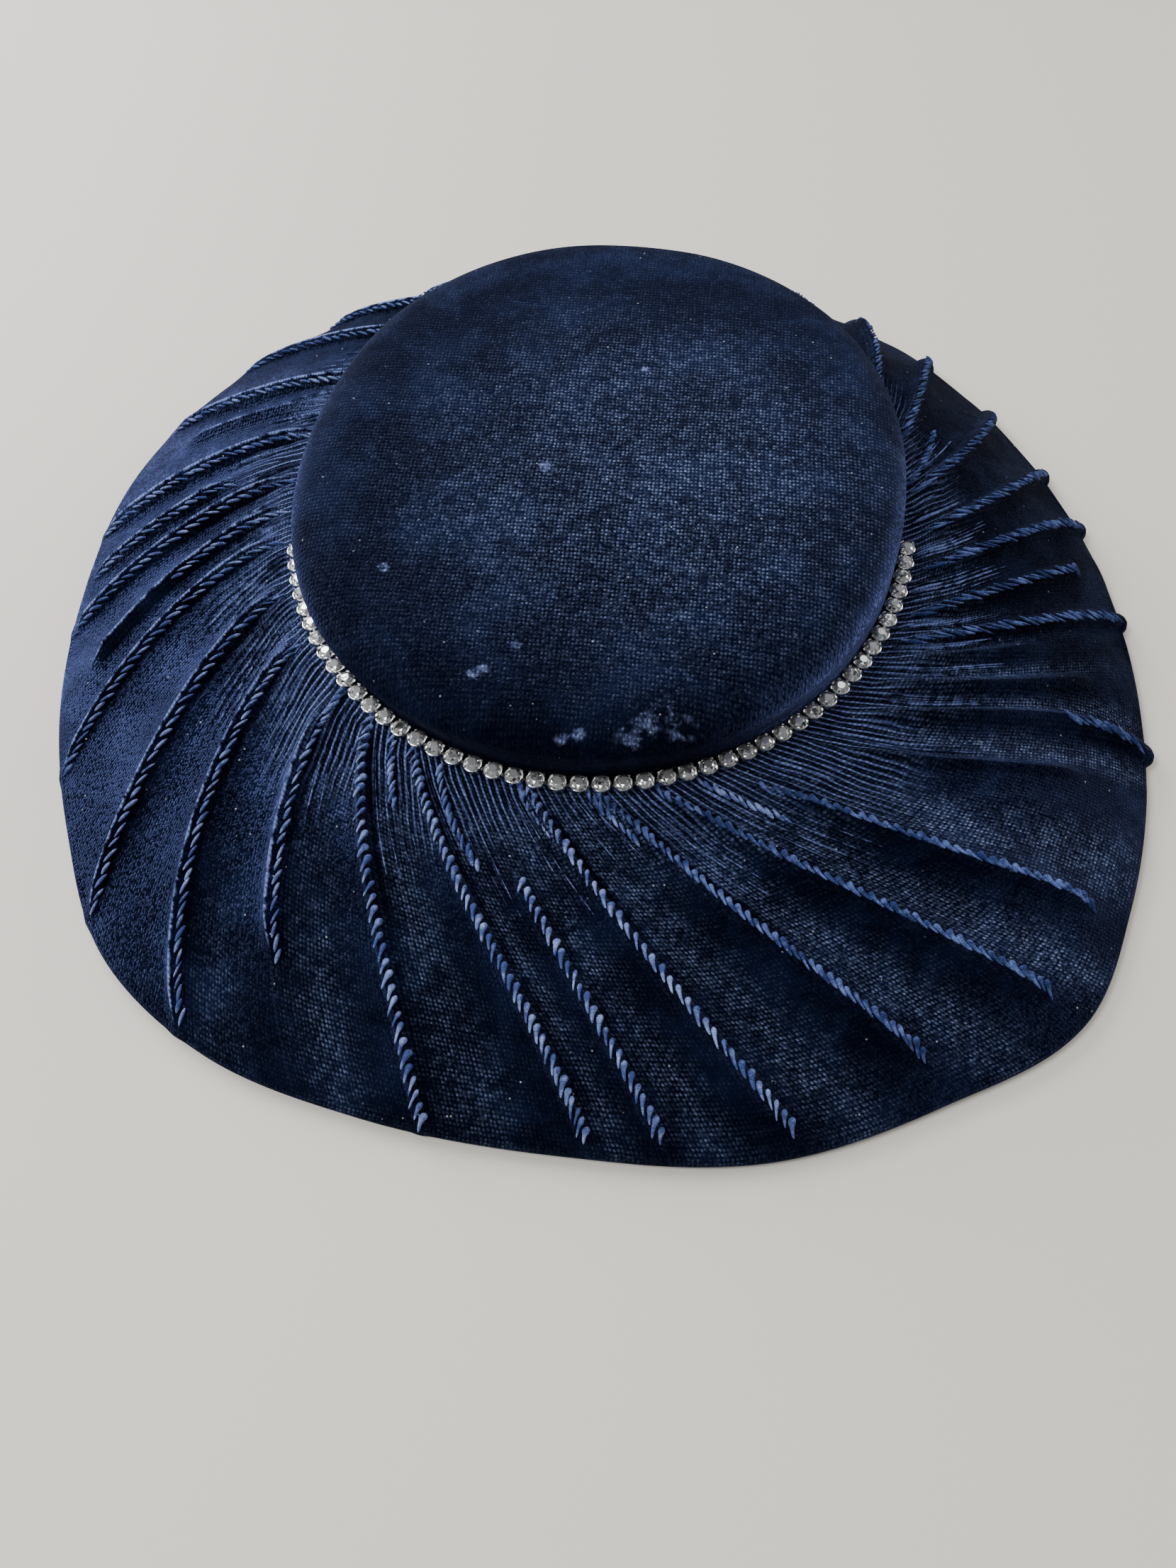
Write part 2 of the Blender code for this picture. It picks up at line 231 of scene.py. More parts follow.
def new_group(name, inputs, outputs):
    """An empty node group with named inputs (name: kind, value) and outputs (name: kind)."""
    group = bpy.data.node_groups.new(name, "ShaderNodeTree")
    for title, (kind, value) in inputs.items():
        socket = group.interface.new_socket(title, in_out="INPUT", socket_type=kind)
        if value is not None:
            socket.default_value = value
    for title, kind in outputs.items():
        group.interface.new_socket(title, in_out="OUTPUT", socket_type=kind)
    return group, group.nodes.new("NodeGroupInput"), group.nodes.new("NodeGroupOutput")


def math_node(tree, operation, first, second=0.0, third=0.0):
    made = add_node(tree, "ShaderNodeMath", {"operation": operation}, _0=first, _1=second, _2=third)
    return made.outputs[0]


def ramp(tree, value, low, high):
    """0 below low, 1 above high, and smooth between."""
    settings = {"interpolation_type": "SMOOTHSTEP"}
    made = add_node(tree, "ShaderNodeMapRange", settings, Value=value, From_Min=low, From_Max=high)
    return made.outputs["Result"]


def mix_colours(tree, share, first, second):
    settings = {"data_type": "RGBA", "blend_type": "MIX"}
    made = add_node(tree, "ShaderNodeMix", settings, _0=share, _6=first, _7=second)
    return made.outputs[2]


def make_woven_rows():
    """Rows of short dashes where the ground weave shows through the pile."""
    inputs = {
        "Weave": ("NodeSocketVector", None),
        "Row Pitch": ("NodeSocketFloat", 0.001),
        "Dash Pitch": ("NodeSocketFloat", 0.001),
    }
    group, given, result = new_group("woven rows", inputs, {"Dashes": "NodeSocketFloat"})
    cell = add_node(group, "ShaderNodeCombineXYZ", X=given.outputs["Row Pitch"], Y=given.outputs["Dash Pitch"], Z=1.0)
    scaled = add_node(group, "ShaderNodeVectorMath", {"operation": "DIVIDE"},
                      _0=given.outputs["Weave"], _1=cell.outputs[0])
    cells = add_node(group, "ShaderNodeTexVoronoi", {"feature": "F1", "voronoi_dimensions": "2D"},
                     Vector=scaled.outputs[0], Scale=1.0, Randomness=0.28)
    spot = math_node(group, "SUBTRACT", 1.0, ramp(group, cells.outputs["Distance"], 0.10, 0.46))
    own = add_node(group, "ShaderNodeSeparateColor", Color=cells.outputs["Color"])
    bright = math_node(group, "MULTIPLY_ADD", own.outputs[0], 0.75, 0.25)
    group.links.new(math_node(group, "MULTIPLY", spot, bright), result.inputs["Dashes"])
    return group


def make_crushed_pile():
    """Patches where the pile lies another way, and the fine grain of its tips."""
    inputs = {"Place": ("NodeSocketVector", None), "Patch Size": ("NodeSocketFloat", 0.02)}
    outputs = {"Patches": "NodeSocketFloat", "Clusters": "NodeSocketFloat", "Grain": "NodeSocketFloat"}
    group, given, result = new_group("crushed pile", inputs, outputs)
    scale = math_node(group, "DIVIDE", 1.0, given.outputs["Patch Size"])
    broad = add_node(group, "ShaderNodeTexNoise", Vector=given.outputs["Place"], Scale=scale,
                     Detail=5.0, Roughness=0.62, Distortion=0.4)
    group.links.new(ramp(group, broad.outputs[0], 0.40, 0.68), result.inputs["Patches"])
    middle = add_node(group, "ShaderNodeTexNoise", Vector=given.outputs["Place"], Scale=330.0,
                      Detail=3.0, Roughness=0.65)
    group.links.new(ramp(group, middle.outputs[0], 0.36, 0.66), result.inputs["Clusters"])
    fine = add_node(group, "ShaderNodeTexNoise", Vector=given.outputs["Place"], Scale=950.0,
                    Detail=3.0, Roughness=0.7)
    group.links.new(ramp(group, fine.outputs[0], 0.46, 0.70), result.inputs["Grain"])
    return group


def make_fine_ribs():
    """Fine ribs a pitch apart across the weave, a little uneven, where the cloth is gathered."""
    inputs = {"Weave": ("NodeSocketVector", None), "Rib Pitch": ("NodeSocketFloat", 0.002)}
    group, given, result = new_group("fine ribs", inputs, {"Ribs": "NodeSocketFloat"})
    across = add_node(group, "ShaderNodeSeparateXYZ", Vector=given.outputs["Weave"]).outputs[0]
    drift = add_node(group, "ShaderNodeTexNoise", Vector=given.outputs["Weave"], Scale=90.0, Detail=2.0)
    turns = math_node(group, "DIVIDE", across, given.outputs["Rib Pitch"])
    turns = math_node(group, "MULTIPLY_ADD", drift.outputs[0], 1.3, turns)
    wave = math_node(group, "SINE", math_node(group, "MULTIPLY", turns, 2.0 * math.pi))
    group.links.new(ramp(group, wave, -0.10, 0.95), result.inputs["Ribs"])
    return group


def make_lint():
    """Sparse pale specks of dust caught in the pile."""
    inputs = {"Place": ("NodeSocketVector", None), "Spacing": ("NodeSocketFloat", 0.004)}
    group, given, result = new_group("lint", inputs, {"Specks": "NodeSocketFloat"})
    scale = math_node(group, "DIVIDE", 1.0, given.outputs["Spacing"])
    cells = add_node(group, "ShaderNodeTexVoronoi", {"feature": "F1"},
                     Vector=given.outputs["Place"], Scale=scale, Randomness=1.0)
    spot = math_node(group, "SUBTRACT", 1.0, ramp(group, cells.outputs["Distance"], 0.03, 0.10))
    own = add_node(group, "ShaderNodeSeparateColor", Color=cells.outputs["Color"])
    chosen = ramp(group, own.outputs[1], 0.62, 0.95)
    group.links.new(math_node(group, "MULTIPLY", spot, chosen), result.inputs["Specks"])
    return group


WOVEN_ROWS = make_woven_rows()
CRUSHED_PILE = make_crushed_pile()
FINE_RIBS = make_fine_ribs()
LINT = make_lint()
RIB_PITCH = 0.0021
DEEP_NAVY = (0.0003, 0.0010, 0.0062, 1.0)
SOFT_NAVY = (0.0018, 0.0046, 0.0190, 1.0)
# The weave's dots and pile tips, lit up as a painted glint.
WOVEN_GLINT = (0.2800, 0.3650, 0.6600, 1.0)
WORN_BLUE = (0.2400, 0.3000, 0.6000, 1.0)
# A sheen painted into the velvet's colour where the pile turns away.
TURNED_SHEEN = (0.1500, 0.1900, 0.5000, 1.0)
# A painted highlight on tuck crests and rib tops.
CREST_HIGHLIGHT_BLUE = (0.2000, 0.2650, 0.6000, 1.0)
LINT_GREY = (0.4000, 0.4200, 0.4600, 1.0)
SHEEN_TINT = (0.30, 0.45, 1.0, 1.0)
CROWN_NAP = (0.30, 0.42, 0.0)
# where the top's pile is worn thin: middle and half width in millimetres
THIN_MIDDLE = (14.0, 2.0)
THIN_HALF_WIDTH = 72.0
# Height in millimetres below which the crown's wall takes painted shade and painted sheen strips.
WALL_TOP = 57.5


def velvet(name, row_pitch, dash_pitch, weave_shows, patch_size, turned_share, raised=(), ground=None):
    """Velvet: near black into the pile, with a lavender-blue sheen painted into its colour where the leaning pile
    turns away, and the weave's dots glinting as a painted glint where it is parted and lit.
    raised: (stored value, share, colour) sets for a painted highlight where the cloth stands up and for real worn
    spots."""
    made = bpy.data.materials.new(name)
    made.use_nodes = True
    tree = made.node_tree
    shader = tree.nodes["Principled BSDF"]
    deep, soft = ground or (DEEP_NAVY, SOFT_NAVY)
    spot = add_node(tree, "ShaderNodeTexCoord").outputs["Object"]
    woven = add_node(tree, "ShaderNodeAttribute", {"attribute_name": "weave"}).outputs["Vector"]
    nap = add_node(tree, "ShaderNodeAttribute", {"attribute_name": "nap"}).outputs["Vector"]
    parted_and_lit = add_node(tree, "ShaderNodeAttribute", {"attribute_name": "parted_and_lit"}).outputs["Fac"]
    glow = add_node(tree, "ShaderNodeAttribute", {"attribute_name": "glow"}).outputs["Fac"]
    rows = add_node(tree, "ShaderNodeGroup", {"node_tree": WOVEN_ROWS}, Weave=woven,
                    Row_Pitch=row_pitch, Dash_Pitch=dash_pitch)
    pile = add_node(tree, "ShaderNodeGroup", {"node_tree": CRUSHED_PILE}, Place=spot, Patch_Size=patch_size)
    dust = add_node(tree, "ShaderNodeGroup", {"node_tree": LINT}, Place=spot, Spacing=0.0034)
    fine = add_node(tree, "ShaderNodeGroup", {"node_tree": FINE_RIBS}, Weave=woven, Rib_Pitch=RIB_PITCH)
    gathered = add_node(tree, "ShaderNodeAttribute", {"attribute_name": "gathered"}).outputs["Fac"]
    ribs = math_node(tree, "MULTIPLY", fine.outputs["Ribs"], gathered)
    relief = math_node(tree, "MULTIPLY_ADD", rows.outputs["Dashes"], 0.8, pile.outputs["Grain"])
    relief = math_node(tree, "MULTIPLY_ADD", ribs, 1.5, relief)
    bump = add_node(tree, "ShaderNodeBump", Strength=0.7, Distance=0.0005, Height=relief).outputs["Normal"]
    leaning = add_node(tree, "ShaderNodeVectorMath", {"operation": "ADD"}, _0=bump, _1=nap).outputs[0]
    leaning = add_node(tree, "ShaderNodeVectorMath", {"operation": "NORMALIZE"}, _0=leaning).outputs[0]
    # Painted sheen: the colour is mixed towards the turned sheen where the leaning pile faces away from the camera, as
    # much as the stored glow gives.
    facing = add_node(tree, "ShaderNodeLayerWeight", Blend=0.5, Normal=leaning).outputs["Facing"]
    turned = ramp(tree, facing, 0.56, 1.0)
    lying = math_node(tree, "MULTIPLY_ADD", pile.outputs["Patches"], 0.40, 0.60)
    colour = mix_colours(tree, pile.outputs["Patches"], deep, soft)
    away = math_node(tree, "MULTIPLY", math_node(tree, "MULTIPLY", turned, lying), turned_share)
    away = math_node(tree, "MULTIPLY", away, glow)
    colour = mix_colours(tree, away, colour, TURNED_SHEEN)
    # The weave's dots are a real pattern; here they and the pile tips are brightened into a painted glint where the
    # pile turns away and where the stored share marks it parted and lit.
    clustered = math_node(tree, "MULTIPLY_ADD", pile.outputs["Clusters"], 0.85, 0.15)
    shown = math_node(tree, "MULTIPLY", math_node(tree, "MULTIPLY", lying, parted_and_lit), clustered)
    shown = math_node(tree, "MULTIPLY", shown, math_node(tree, "MULTIPLY_ADD", turned, 0.9, 0.48))
    shown = math_node(tree, "MULTIPLY", shown, weave_shows)
    glint = math_node(tree, "MULTIPLY", shown, rows.outputs["Dashes"])
    colour = mix_colours(tree, glint, colour, WOVEN_GLINT)
    grain = math_node(tree, "MULTIPLY", pile.outputs["Grain"], math_node(tree, "MULTIPLY_ADD", shown, 0.20, 0.006))
    colour = mix_colours(tree, grain, colour, WOVEN_GLINT)
    broken = math_node(tree, "MULTIPLY_ADD", rows.outputs["Dashes"], 0.7, 0.22)
    broken = math_node(tree, "MULTIPLY_ADD", pile.outputs["Grain"], 0.35, broken)
    # Painted highlight where the cloth stands up (tuck crests, gather ribs), and real bluish wear (worn spots).
    for value_name, share, lit in raised:
        value = add_node(tree, "ShaderNodeAttribute", {"attribute_name": value_name}).outputs["Fac"]
        torn = math_node(tree, "MULTIPLY_ADD", pile.outputs["Clusters"], 0.9, 0.25)
        value = math_node(tree, "MULTIPLY", ramp(tree, math_node(tree, "MULTIPLY", value, torn), 0.12, 0.62), share)
        colour = mix_colours(tree, math_node(tree, "MULTIPLY", value, broken), colour, lit)
    # Painted highlight on the tops of the fine ribs and painted shade in the valleys between them.
    colour = mix_colours(tree, math_node(tree, "MULTIPLY", ribs, broken), colour, CREST_HIGHLIGHT_BLUE)
    rib_valley_shade = math_node(tree, "SUBTRACT", gathered, ribs)
    colour = mix_colours(tree, math_node(tree, "MULTIPLY", rib_valley_shade, 0.75), colour, DEEP_NAVY)
    colour = mix_colours(tree, dust.outputs["Specks"], colour, LINT_GREY)
    tree.links.new(colour, shader.inputs["Base Color"])
    rough = math_node(tree, "MULTIPLY_ADD", pile.outputs["Patches"], -0.12, 0.86)
    tree.links.new(rough, shader.inputs["Roughness"])
    shader.inputs["Specular IOR Level"].default_value = 0.03
    shader.inputs["Sheen Weight"].default_value = 0.012
    shader.inputs["Sheen Roughness"].default_value = 0.30
    shader.inputs["Sheen Tint"].default_value = SHEEN_TINT
    tree.links.new(bump, shader.inputs["Normal"])
    return made


crown = make_crown()
crown_places = np.array([vertex.co for vertex in crown.data.vertices])
row_wave = 0.0005 * unevenness(crown_places, 30.0)
row_turn = math.radians(CROWN_ROW_TURN)
keep_weave(crown, crown_places[:, 0] * math.cos(row_turn) - crown_places[:, 1] * math.sin(row_turn) + row_wave,
           crown_places[:, 0] * math.sin(row_turn) + crown_places[:, 1] * math.cos(row_turn))
thin_away = np.linalg.norm(crown_places[:, :2] / MM - THIN_MIDDLE, axis=1) / THIN_HALF_WIDTH
from_middle = crown_places - hat_middle
crown_azimuth = np.degrees(np.arctan2(from_middle[:, 1], from_middle[:, 0]))
# Painted shade and sheen on the crown's wall: the weave shows less all round it, and lavender sheen strips are painted
# on the left and, where light falls from the right, on the front right.
on_wall = ease((WALL_TOP - crown_places[:, 2] / MM) / 8.0)
on_left = on_wall * ease(1.4 - np.abs(np.abs(crown_azimuth) - 165.0) / 25.0)
on_right = on_wall * ease(1.4 - np.abs(crown_azimuth + 25.0) / 40.0)
lay_pile(crown, np.array(CROWN_NAP) * (1.0 - on_left)[:, None], (0.12 + 0.88 * ease(1.25 - thin_away)) * (1.0 - 0.8 * on_wall),
         0.10 + np.maximum(0.9 * on_left, 1.7 * on_right))
crown.data.materials.append(velvet("crown velvet", 0.00105, 0.00125, 0.95, 0.022, 0.80, [("wear", 1.0, WORN_BLUE)]))
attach(crown, "root")
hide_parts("crown")

# Camera. It stands where the photograph was taken, in front of the hat and looking down on it.
CAMERA_TILT = 31.4
CAMERA_LENS = 27.05
CAMERA_PLACE = (-0.00376, -0.23626, 0.290)
PHOTO_WIDTH = 1659
PHOTO_HEIGHT = 2212
camera_data = bpy.data.cameras.new("camera")
camera_data.lens = CAMERA_LENS
camera_data.sensor_width = 36.0
camera_data.clip_start = 0.01
camera = bpy.data.objects.new("camera", camera_data)
camera.location = CAMERA_PLACE
camera.rotation_euler = (math.radians(CAMERA_TILT), 0.0, 0.0)
bpy.context.collection.objects.link(camera)
bpy.context.scene.camera = camera
bpy.context.view_layer.update()


def sight_line(pixel):
    """Direction in which the camera sees a pixel of the photograph."""
    focal = CAMERA_LENS / camera_data.sensor_width * PHOTO_HEIGHT
    across = pixel[0] - PHOTO_WIDTH / 2.0
    down = pixel[1] - PHOTO_HEIGHT / 2.0
    return (camera.matrix_world.to_3x3() @ Vector((across, -down, -focal))).normalized()


def touched(tree, pixel):
    """Point and normal where the line of sight through a pixel meets a piece."""
    point, normal, _, _ = tree.ray_cast(Vector(CAMERA_PLACE), sight_line(pixel))
    return point, normal


# Worn spots on the crown, in pixels of the photograph. size: millimetres across; strength: share
WORN_SPOTS = [
    ((771, 658), 4.6, 1.0),
    ((779, 664), 3.0, 0.8),
    ((909, 520), 3.4, 0.6),
    ((597, 637), 2.6, 0.4),
    ((542, 801), 3.4, 0.8),
    ((672, 951), 4.0, 1.0),
    ((682, 944), 2.6, 0.9),
    ((731, 910), 3.0, 0.7),
    ((790, 1043), 3.4, 0.7),
    ((816, 1036), 3.8, 0.8),
    ((1000, 725), 6.0, 0.3),
    ((1099, 732), 6.0, 0.4),
    ((890, 1040), 9.0, 0.42),
    ((925, 1012), 13.0, 0.40),
    ((965, 1030), 9.0, 0.42),
]


def wear_crown():
    shape = BVHTree.FromObject(crown, bpy.context.evaluated_depsgraph_get())
    points = np.array([vertex.co for vertex in crown.data.vertices])
    wear = np.zeros(len(points))
    for pixel, size, strength in WORN_SPOTS:
        centre = np.array(touched(shape, pixel)[0])
        away = np.linalg.norm(points - centre, axis=1) / (size * MM / 2.0)
        wear = np.maximum(wear, strength * ease(1.35 - away))
    keep_value(crown, "wear", wear)


wear_crown()

# Brim. A wide saucer of the same velvet over a stiff form. The cloth is taken up in tucks that swirl out
# from the crown, hangs a little hollow between them, is gathered finely beside the crown and rolls over a wired edge.
BRIM_WIDTH = 100.0
BRIM_CURVE = 1.9
EDGE_ROLL = 2.6
EDGE_START = 60.0
REST_FACE = 2.0
TUCK_HEIGHT = 2.4
TUCK_FADE = 0.12
HOLLOW_DEPTH = 3.2
HOLLOW_AT_TUCK = 1.3
GATHER_HEIGHT = 1.0
GATHER_COLUMNS = 3
GATHER_HALF = 0.62
SLOT_OFFSET = 3.1
SLOT_WIDTH = 1.1
BRIM_NAP = (0.32, 0.42, 0.0)
RIGHT_NAP = (-0.30, -0.30, 0.0)
BRIM_TOP_ROWS = 75
BRIM_UNDER_ROWS = 8
ROLL_ANGLES = (45.0, 28.0, 10.0, -10.0, -30.0, -50.0, -70.0)
FLANK_STEPS = (0.0, 0.14, 0.30, 0.48, 0.66, 0.84, 1.02, 1.35)
PANEL_COLUMNS = 15

# azimuth: degrees round from +X; reach: share of the brim's width
BRIM_OUTLINE = [
    (0, 0.730), (15, 0.680), (30, 0.650), (45, 0.630), (65, 0.590), (90, 0.560), (118, 0.630), (135, 0.690),
    (150, 0.740), (165, 0.770), (182, 0.770), (200, 0.815), (212, 0.860), (225, 0.935), (237, 0.930), (250, 0.885),
    (266, 0.875), (283, 0.945), (296, 0.975), (310, 1.030), (320, 0.955), (331, 0.880), (343, 0.805),
]

# Ways of whipping a tuck, in millimetres and degrees. pitch: between stitches; length, width, height: half sizes of
# the lump between two stitches; slant: of a lump to the tuck; beside: how far the lumps lie on the tuck's flank, + for
# the side of larger azimuth; line, line width: strength and width of a painted highlight on the bare crest; half,
# round: the tuck's own shape
WHIPPINGS = [
    # pitch, length, width, height, slant, beside, line, half, round, line width
    (3.30, 2.20, 0.44, 0.55, 22.0, 2.50, 1.00, 3.60, 1.1, 0.8),
    (3.00, 2.50, 0.84, 1.00, 38.0, 0.30, 0.20, 2.30, 1.5, 0.7),
    (2.90, 3.50, 0.40, 0.60, 22.0, -1.10, 0.12, 3.40, 2.2, 1.2),
]

# Tucks in order round the brim. inner, middle, outer: azimuth at the shares of TUCK_STATIONS; start, end: shares
# of the way out, past 1 over the edge; height: share; twist_from, twist_to: shares between which it is whipped;
# whipping: row of WHIPPINGS; slot: depth in millimetres of the shadow crease on its far side
TUCK_STATIONS = (0.10, 0.50, 0.95)
TUCKS = [
    (141.5, 150.0, 156.0, 0.08, 1.02, 0.80, 0.10, 0.97, 0, 0.3),
    (149.5, 157.0, 163.0, 0.20, 0.80, 0.50, 2.00, 0.00, 0, 0.0),
    (158.5, 167.0, 173.5, 0.08, 1.03, 0.90, 0.10, 0.99, 0, 0.4),
    (165.5, 174.0, 181.0, 0.34, 1.00, 0.65, 0.36, 0.96, 0, 0.3),
    (171.0, 180.0, 187.5, 0.08, 1.03, 0.85, 0.10, 0.99, 0, 0.5),
    (178.5, 188.0, 197.0, 0.08, 0.90, 0.75, 0.10, 0.52, 0, 0.4),
    (186.0, 195.0, 205.0, 0.08, 1.03, 0.85, 0.10, 0.99, 0, 0.6),
    (198.0, 209.0, 220.0, 0.08, 1.03, 0.95, 0.10, 0.99, 0, 0.8),
    (209.5, 221.0, 233.0, 0.08, 1.03, 1.00, 0.10, 0.99, 0, 0.9),
    (223.0, 233.0, 244.0, 0.08, 0.75, 1.00, 0.09, 0.72, 0, 1.0),
    (232.0, 245.5, 255.0, 0.04, 1.03, 1.00, 0.05, 0.99, 1, 1.0),
    (241.5, 257.6, 268.0, 0.04, 1.00, 1.00, 0.05, 0.97, 1, 0.9),
    (252.0, 264.6, 274.0, 0.30, 1.00, 0.90, 0.34, 0.97, 1, 0.5),
    (260.0, 273.4, 284.0, 0.04, 0.97, 0.95, 0.05, 0.95, 1, 1.9),
    (271.0, 286.0, 296.8, 0.04, 0.93, 0.95, 0.05, 0.91, 1, 1.6),
    (280.0, 297.0, 309.0, 0.04, 0.93, 0.95, 0.05, 0.91, 1, 0.9),
    (291.0, 307.8, 317.5, 0.12, 0.92, 0.95, 0.13, 0.90, 1, 0.7),
    (304.5, 321.0, 331.0, 0.12, 0.78, 0.70, 2.00, 0.00, 1, 0.4),
    (313.0, 328.5, 336.3, 0.08, 1.20, 0.90, 0.66, 0.96, 2, 0.5),
    (320.0, 333.5, 344.0, 0.08, 0.80, 0.70, 2.00, 0.00, 2, 0.3),
    (325.0, 339.0, 349.0, 0.08, 0.60, 0.65, 2.00, 0.00, 2, 0.3),
    (329.5, 343.0, 352.5, 0.08, 1.20, 0.80, 0.12, 0.96, 2, 0.4),
    (335.5, 350.0, 359.5, 0.08, 0.85, 0.90, 0.12, 0.82, 2, 0.5),
    (345.5, 358.0, 366.5, 0.08, 1.20, 0.95, 0.14, 0.96, 2, 0.5),
    (354.5, 366.0, 375.5, 0.08, 1.20, 0.95, 0.14, 0.96, 2, 0.5),
    (365.0, 376.5, 387.0, 0.08, 1.20, 0.95, 0.12, 0.96, 2, 0.5),
    (377.0, 391.0, 399.5, 0.08, 1.20, 0.95, 0.10, 0.96, 2, 0.5),
    (388.0, 402.0, 411.5, 0.08, 1.20, 0.95, 0.10, 0.96, 2, 0.5),
    (400.0, 414.0, 424.0, 0.08, 1.20, 0.90, 0.10, 0.96, 2, 0.4),
    (413.0, 427.0, 437.0, 0.08, 1.20, 0.90, 0.10, 0.96, 2, 0.4),
    (426.0, 440.0, 450.0, 0.08, 1.02, 0.90, 0.10, 0.97, 0, 0.4),
    (440.0, 453.0, 463.0, 0.08, 1.02, 0.90, 0.10, 0.97, 0, 0.4),
    (454.0, 466.0, 476.0, 0.08, 1.02, 0.90, 0.10, 0.97, 0, 0.4),
    (469.0, 480.0, 489.0, 0.08, 1.02, 0.90, 0.10, 0.97, 0, 0.4),
    (484.0, 494.0, 503.0, 0.08, 1.02, 0.85, 0.10, 0.97, 0, 0.4),
]

# Short folds beside the crown. places: (share of the way out, azimuth); height: millimetres; whipped: yes or no
SHORT_FOLDS = [
    (((0.03, 235.0), (0.12, 238.0), (0.24, 242.5)), 1.4, True),
    (((0.03, 256.5), (0.10, 259.0), (0.20, 263.5)), 1.3, True),
    (((0.03, 266.5), (0.12, 270.5), (0.22, 275.0)), 1.2, True),
    (((0.03, 283.0), (0.12, 287.5), (0.26, 294.5)), 1.4, True),
    (((0.03, 223.0), (0.10, 224.5), (0.30, 228.0)), 2.0, True),
    (((0.05, 244.0), (0.20, 249.5), (0.33, 255.5)), 1.6, True),
    (((0.08, 264.0), (0.30, 271.0), (0.36, 273.0)), 1.4, False),
    (((0.08, 295.5), (0.20, 301.0), (0.45, 312.5)), 1.6, False),
    (((0.42, 313.5), (0.60, 320.0), (0.72, 323.0)), 1.2, False),
    (((0.05, 365.0), (0.20, 372.0), (0.35, 380.0)), 1.8, True),
    (((0.08, 383.5), (0.16, 387.0), (0.24, 390.5)), 1.4, True),
]
tuck_values = np.array(TUCKS)
whipping_values = np.array(WHIPPINGS)[tuck_values[:, 8].astype(int)]


def brim_reach(azimuth):
    """Distance from the middle to the brim's edge, on a smooth closed curve through BRIM_OUTLINE."""
    table = np.array(BRIM_OUTLINE, float)
    knots = np.concatenate([table[-2:, 0] - 360.0, table[:, 0], table[:2, 0] + 360.0])
    shares = np.concatenate([table[-2:, 1], table[:, 1], table[:2, 1]])
    share = smooth_curve(knots, shares, np.ravel(azimuth) % 360.0).reshape(np.shape(azimuth))
    return head_loop(azimuth) + BRIM_WIDTH * share


def tuck_azimuth(tuck, share):
    """A tuck's azimuth at a share of the way out, on a parabola through its three stations."""
    near, middle, far = TUCK_STATIONS
    first = (tuck[..., 1] - tuck[..., 0]) / (middle - near)
    second = (tuck[..., 2] - tuck[..., 1]) / (far - middle)
    bend = (second - first) / (far - near)
    return tuck[..., 0] + (share - near) * (first + bend * (share - middle))


def tuck_rise(tuck, share):
    """How far a tuck's ridge stands at a share of the way out, from 0 to 1."""
    return tuck[..., 5] * ease((share - tuck[..., 3]) / TUCK_FADE) * ease((tuck[..., 4] - share) / TUCK_FADE)


def ridge_shape(offset, half, roundness):
    """A tuck's cross-section, from 1 on its crest to 0 at its half width."""
    return 1.0 - np.minimum(np.abs(offset) / half, 1.0) ** roundness


def brim_radius(azimuth, share):
    outer = brim_reach(azimuth) - EDGE_ROLL * (1.0 - math.cos(math.radians(EDGE_START)))
    inner = head_loop(azimuth, GAP)
    return inner + (outer - inner) * share


def brim_point(azimuth, share, offset):
    """A point of the brim's upper side, raised along its normal by an offset in millimetres."""
    outer = brim_reach(azimuth) - EDGE_ROLL * (1.0 - math.cos(math.radians(EDGE_START)))
    inner = head_loop(azimuth, GAP)
    drop = BASE_HEIGHT - EDGE_ROLL * (1.0 + math.sin(math.radians(EDGE_START)))
    height = BASE_HEIGHT - drop * share**BRIM_CURVE
    slope = np.arctan(drop * BRIM_CURVE * share ** (BRIM_CURVE - 1.0) / (outer - inner))
    radius = inner + (outer - inner) * share
    return place(azimuth, radius + offset * np.sin(slope), height + offset * np.cos(slope))


def roll_point(azimuth, angle, offset):
    """A point on the rolled edge, at an angle above the level through the roll's middle."""
    angle = np.radians(angle)
    radius = brim_reach(azimuth) - EDGE_ROLL + (EDGE_ROLL + offset) * np.cos(angle)
    return place(azimuth, radius, EDGE_ROLL + (EDGE_ROLL + offset) * np.sin(angle))


def roll_over(angle):
    """How far a tuck still stands on the rolled edge at an angle, from 1 above it to 0 below."""
    return ease((angle + 60.0) / 80.0)


def fold_azimuth(places, share):
    table = np.array(places)
    return np.interp(share, table[:, 0], table[:, 1])


def hollow_share(share):
    """How deep the cloth hangs between two tucks along the way out, from 0 at the crown to 0 at the edge."""
    return ease((share - 0.06) / 0.22) * ease((1.06 - share) / 0.30)


def gather_lift(middles, share):
    """Fine ribs in the cloth beside the crown, one to every few columns of a panel, each with its own length. They
    stand highest on the right."""
    gaps = len(middles)
    right_hand = 0.85 + 0.55 * ease((middles - 300.0) / 40.0) * ease((415.0 - middles) / 30.0)
    column = np.arange(PANEL_COLUMNS)
    rib = column // GATHER_COLUMNS
    crest = np.where(column % GATHER_COLUMNS == 1, 1.0, 0.0)
    number = rib[None, :] + 7.0 * np.arange(gaps)[:, None]
    reach = 0.27 + 0.24 * np.abs(np.sin(number * 12.9))
    strength = 0.70 + 0.30 * np.sin(number * 7.3)
    fade = ease((share - 0.045) / 0.05) * ease((reach - share) / 0.16)
    return crest[None, :] * strength * fade * right_hand[:, None]


